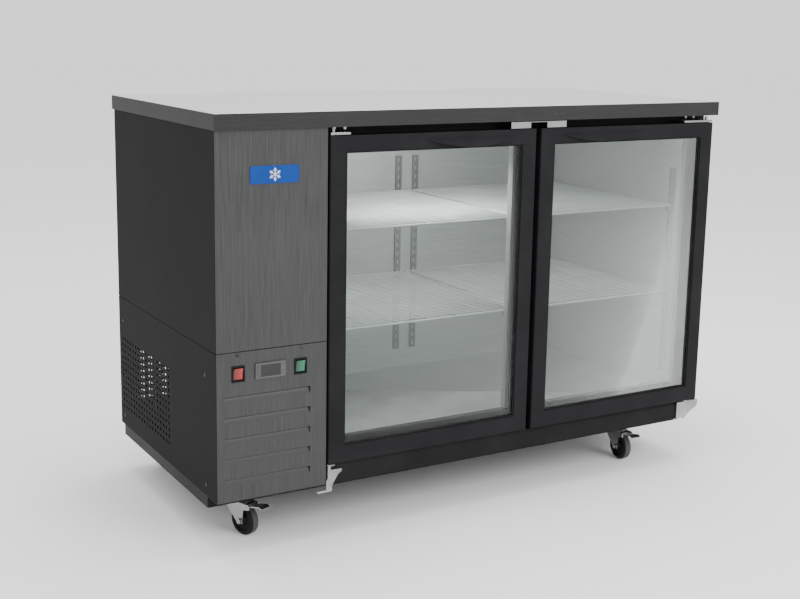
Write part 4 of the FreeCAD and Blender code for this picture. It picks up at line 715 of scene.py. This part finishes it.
def foldedLip():
    low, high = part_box("left_vent_panel")
    sheet = high.x - low.x
    size = Vector((sheet, high.y - low.y - 2 * seamLip["margin"], seamLip["depth"]))
    level = high.z + seamLip["rise"] - seamLip["depth"] / 2
    middle = Vector((high.x + sheet / 2, (low.y + high.y) / 2, level))
    clearSelection()
    bpy.ops.mesh.primitive_cube_add(size=1, location=middle, scale=size)
    lip = bpy.context.object
    lip.name = "vent_panel_lip"
    pickUp(lip)
    bpy.ops.object.transform_apply(location=True, rotation=True, scale=True)
    changed(lip, "BEVEL", width=seamLip["edge"], segments=2, limit_method="ANGLE")
    smoothed(lip)
    dressed(lip, "blackSteel", "cabinet", slotOf["left_vent_panel"])


foldedLip()
print("folded lip made")


# pan head screws with a cross recess
screwFacts = {"radius": 0.0045, "height": 0.0015, "recess": 0.0009, "slotWidth": 0.0011, "slotLength": 0.0050}


def screwHead():
    facts = screwFacts
    clearSelection()
    bpy.ops.mesh.primitive_circle_add(vertices=20, radius=facts["radius"], fill_type="NGON")
    head = bpy.context.object
    head.name = "screwPattern"
    bpy.ops.object.mode_set(mode="EDIT")
    bpy.ops.mesh.select_all(action="SELECT")
    for rise, shrink in ((0.45, 0.97), (0.35, 0.84), (0.20, 0.70)):
        bpy.ops.mesh.extrude_region_move(TRANSFORM_OT_translate={"value": (0, 0, facts["height"] * rise)})
        bpy.ops.transform.resize(value=(shrink, shrink, 1))
    bpy.ops.mesh.select_all(action="SELECT")
    bpy.ops.mesh.normals_make_consistent(inside=False)
    bpy.ops.object.mode_set(mode="OBJECT")
    for turn in (0, math.pi / 2):
        clearSelection()
        bpy.ops.mesh.primitive_cube_add(size=1, location=(0, 0, facts["height"]), rotation=(0, 0, turn),
                                        scale=(facts["slotLength"], facts["slotWidth"], 2 * facts["recess"]))
        cutter = bpy.context.object
        changed(head, "BOOLEAN", operation="DIFFERENCE", object=cutter, solver="EXACT")
        bpy.data.objects.remove(cutter)
    smoothed(head, 30)
    return head


def screwPlaces():
    places = []
    for part in looseParts(traced("screws", "screwParts")):
        low, high = reach(part)
        middle = (low + high) / 2
        size = high - low
        if size.y < size.x:
            places.append((Vector((middle.x, high.y, middle.z)), Vector((0, -1, 0)), 1.0))
        else:
            places.append((Vector((high.x, middle.y, middle.z)), Vector((-1, 0, 0)), 1.0))
        bpy.data.objects.remove(part)
    return places


bandScrews = {"size": 0.55, "height": 0.020, "pairs": (0.081, 0.191), "spread": 0.012, "sideDepth": 0.117}


def screwsAndBandScrews():
    places = screwPlaces()
    low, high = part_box("worktop_band")
    level = high.z - bandScrews["height"]
    for middle in bandScrews["pairs"]:
        for side in (-1, 1):
            places.append((Vector((middle + side * bandScrews["spread"], low.y, level)),
                           Vector((0, -1, 0)), bandScrews["size"]))
    places.append((Vector((low.x, low.y + bandScrews["sideDepth"], level)), Vector((-1, 0, 0)),
                   bandScrews["size"]))
    pattern = screwHead()
    heads = []
    for index, (place, out, size) in enumerate(places):
        turn = out.to_track_quat("Z", "Y").to_matrix().to_4x4()
        matrix = Matrix.Translation(place) @ turn @ Matrix.Scale(size, 4)
        heads.append(copied(pattern, f"screw{index}", matrix))
    bpy.data.objects.remove(pattern)
    everyHead = joinedUp("screw_heads", heads)
    dressed(everyHead, "screwDark", "cabinet", slotOf["screws"], "screws")


screwsAndBandScrews()
print("screws made")


# hexagon bolts and a bushed pin on each upper hinge, over the bracket's lip
boltFacts = {"across": 0.0046, "height": 0.003, "from": (0.030, 0.058), "rise": 0.0065, "pinFrom": 0.012,
             "pinRadius": 0.0042, "pinHeight": 0.009, "edge": 0.0005}


def hexBolt(place):
    clearSelection()
    bpy.ops.mesh.primitive_circle_add(vertices=6, radius=boltFacts["across"], fill_type="NGON",
                                      location=place, rotation=(math.pi / 2, 0, 0))
    bolt = bpy.context.object
    bpy.ops.object.transform_apply(location=True, rotation=True, scale=True)
    bpy.ops.object.mode_set(mode="EDIT")
    bpy.ops.mesh.select_all(action="SELECT")
    bpy.ops.mesh.extrude_region_move(TRANSFORM_OT_translate={"value": (0, boltFacts["height"], 0)})
    bpy.ops.mesh.select_all(action="SELECT")
    bpy.ops.mesh.normals_make_consistent(inside=False)
    bpy.ops.object.mode_set(mode="OBJECT")
    changed(bolt, "BEVEL", width=boltFacts["edge"], segments=2, limit_method="ANGLE")
    return bolt


def hingeBolts():
    bolts, bushes = [], []
    frameLow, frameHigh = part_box("face_frame")
    for part in looseParts(traced("upper_hinges", "hingeParts")):
        low, high = reach(part)
        inward = 1 if low.x + high.x < frameLow.x + frameHigh.x else -1
        outer = low.x if inward > 0 else high.x
        for along in boltFacts["from"]:
            bolts.append(hexBolt((outer + inward * along, frameLow.y - boltFacts["height"],
                                  high.z + boltFacts["rise"])))
        pin = Vector((outer + inward * boltFacts["pinFrom"], low.y + boltFacts["pinFrom"], high.z))
        tip = pin + Vector((0, 0, boltFacts["pinHeight"]))
        bushes.append(straightRod(pin, tip, boltFacts["pinRadius"], 20))
        bpy.data.objects.remove(part)
    fixings = joinedUp("upper_hinge_fixings", bolts + bushes)
    smoothed(fixings, 35)
    dressed(fixings, "zincPlate", "cabinet", slotOf["upper_hinges"])


hingeBolts()
print("hinge bolts made")


# a plain snowflake on the badge
flakeFacts = {"arm": 0.0150, "width": 0.0016, "raise": 0.0006, "barbFrom": (0.0070, 0.0105),
              "barb": (0.0048, 0.0034)}


def bar(length, width, height, matrix):
    clearSelection()
    bpy.ops.mesh.primitive_cube_add(size=1, location=(length / 2, 0, height / 2),
                                    scale=(length, width, height))
    stick = bpy.context.object
    bpy.ops.object.transform_apply(location=True, rotation=True, scale=True)
    changed(stick, "BEVEL", width=height * 0.4, segments=2, limit_method="ANGLE")
    stick.matrix_world = matrix
    pickUp(stick)
    bpy.ops.object.transform_apply(location=True, rotation=True, scale=True)
    return stick


def snowflake():
    low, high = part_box("badge_plate")
    facts = flakeFacts
    centre = Matrix.Translation(((low.x + high.x) / 2, low.y, (low.z + high.z) / 2))
    face = Matrix.Rotation(math.pi / 2, 4, "X")
    sticks = []
    for index in range(6):
        arm = centre @ face @ Matrix.Rotation(index * math.pi / 3 + math.pi / 6, 4, "Z")
        sticks.append(bar(facts["arm"], facts["width"], facts["raise"], arm))
        for start, length in zip(facts["barbFrom"], facts["barb"]):
            for side in (-1, 1):
                lean = Matrix.Translation((start, 0, 0)) @ Matrix.Rotation(side * math.radians(50), 4, "Z")
                sticks.append(bar(length, facts["width"] * 0.8, facts["raise"], arm @ lean))
    flake = joinedUp("badge_snowflake", sticks)
    dressed(flake, "badgeWhite", "cabinet", "lamp_white")


snowflake()
print("snowflake made")


# the controller's dark window, left blank
windowFacts = {"width": 0.0496, "height": 0.0276, "sheet": 0.0008, "recess": 0.0010, "edge": 0.0003}


def controllerWindow():
    low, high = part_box("controller")
    middle = (low + high) / 2
    half, tall = windowFacts["width"] / 2, windowFacts["height"] / 2
    window = upright("controller_window", (middle.x - half, middle.x + half),
                     (middle.z - tall, middle.z + tall), low.y + windowFacts["recess"] - windowFacts["sheet"],
                     windowFacts["sheet"], windowFacts["edge"])
    dressed(window, "windowDark", "cabinet", "black_plastic")


controllerWindow()
print("controller window made")


# wire guard over the hole that the evaporator fan blows through
guardFacts = {"rings": (0.018, 0.034, 0.050, 0.066, 0.082), "wire": 0.0013, "spokes": 6, "standOff": 0.004}


def fanGuard():
    low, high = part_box("evaporator_fan_blade")
    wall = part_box("inner_liner")[0].x
    middle = Vector((wall + guardFacts["standOff"], (low.y + high.y) / 2, (low.z + high.z) / 2))
    things = []
    for radius in guardFacts["rings"]:
        clearSelection()
        bpy.ops.mesh.primitive_circle_add(vertices=48, radius=radius, location=middle,
                                          rotation=(0, math.pi / 2, 0))
        bpy.ops.object.transform_apply(location=True, rotation=True, scale=True)
        bpy.ops.object.convert(target="CURVE")
        ring = bpy.context.object
        ring.data.bevel_depth = guardFacts["wire"]
        ring.data.bevel_resolution = 2
        bpy.ops.object.convert(target="MESH")
        things.append(bpy.context.object)
    for index in range(guardFacts["spokes"]):
        turn = math.pi * 2 * index / guardFacts["spokes"]
        along = Vector((0, math.cos(turn), math.sin(turn)))
        clearSelection()
        things.append(straightRod(middle + along * guardFacts["rings"][0],
                                  middle + along * guardFacts["rings"][-1], guardFacts["wire"], 8))
    guard = joinedUp("evaporator_fan_guard", things)
    smoothed(guard, 50)
    dressed(guard, "whiteWire", "cabinet", "white_wire")


fanGuard()
print("fan guard made")

# the light inside the cold room comes from under its ceiling
roomLightFacts = {"across": 0.30, "back": 0.06, "drop": 0.012, "tilt": 22, "width": 0.40, "depth": 0.05,
                  "power": 4}


def coldRoomLight():
    facts = roomLightFacts
    lampLow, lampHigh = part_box("interior_lamp")
    bpy.ops.object.light_add(type="AREA", rotation=(math.radians(facts["tilt"]), 0, 0), location=(
        lampLow.x + facts["across"], lampHigh.y + facts["back"], lampLow.z - facts["drop"]))
    roomLight = bpy.context.object
    roomLight.name = "coldRoomLight"
    roomLight.data.shape = "RECTANGLE"
    roomLight.data.size = facts["width"]
    roomLight.data.size_y = facts["depth"]
    roomLight.data.energy = facts["power"]


coldRoomLight()
print("cold room light placed")
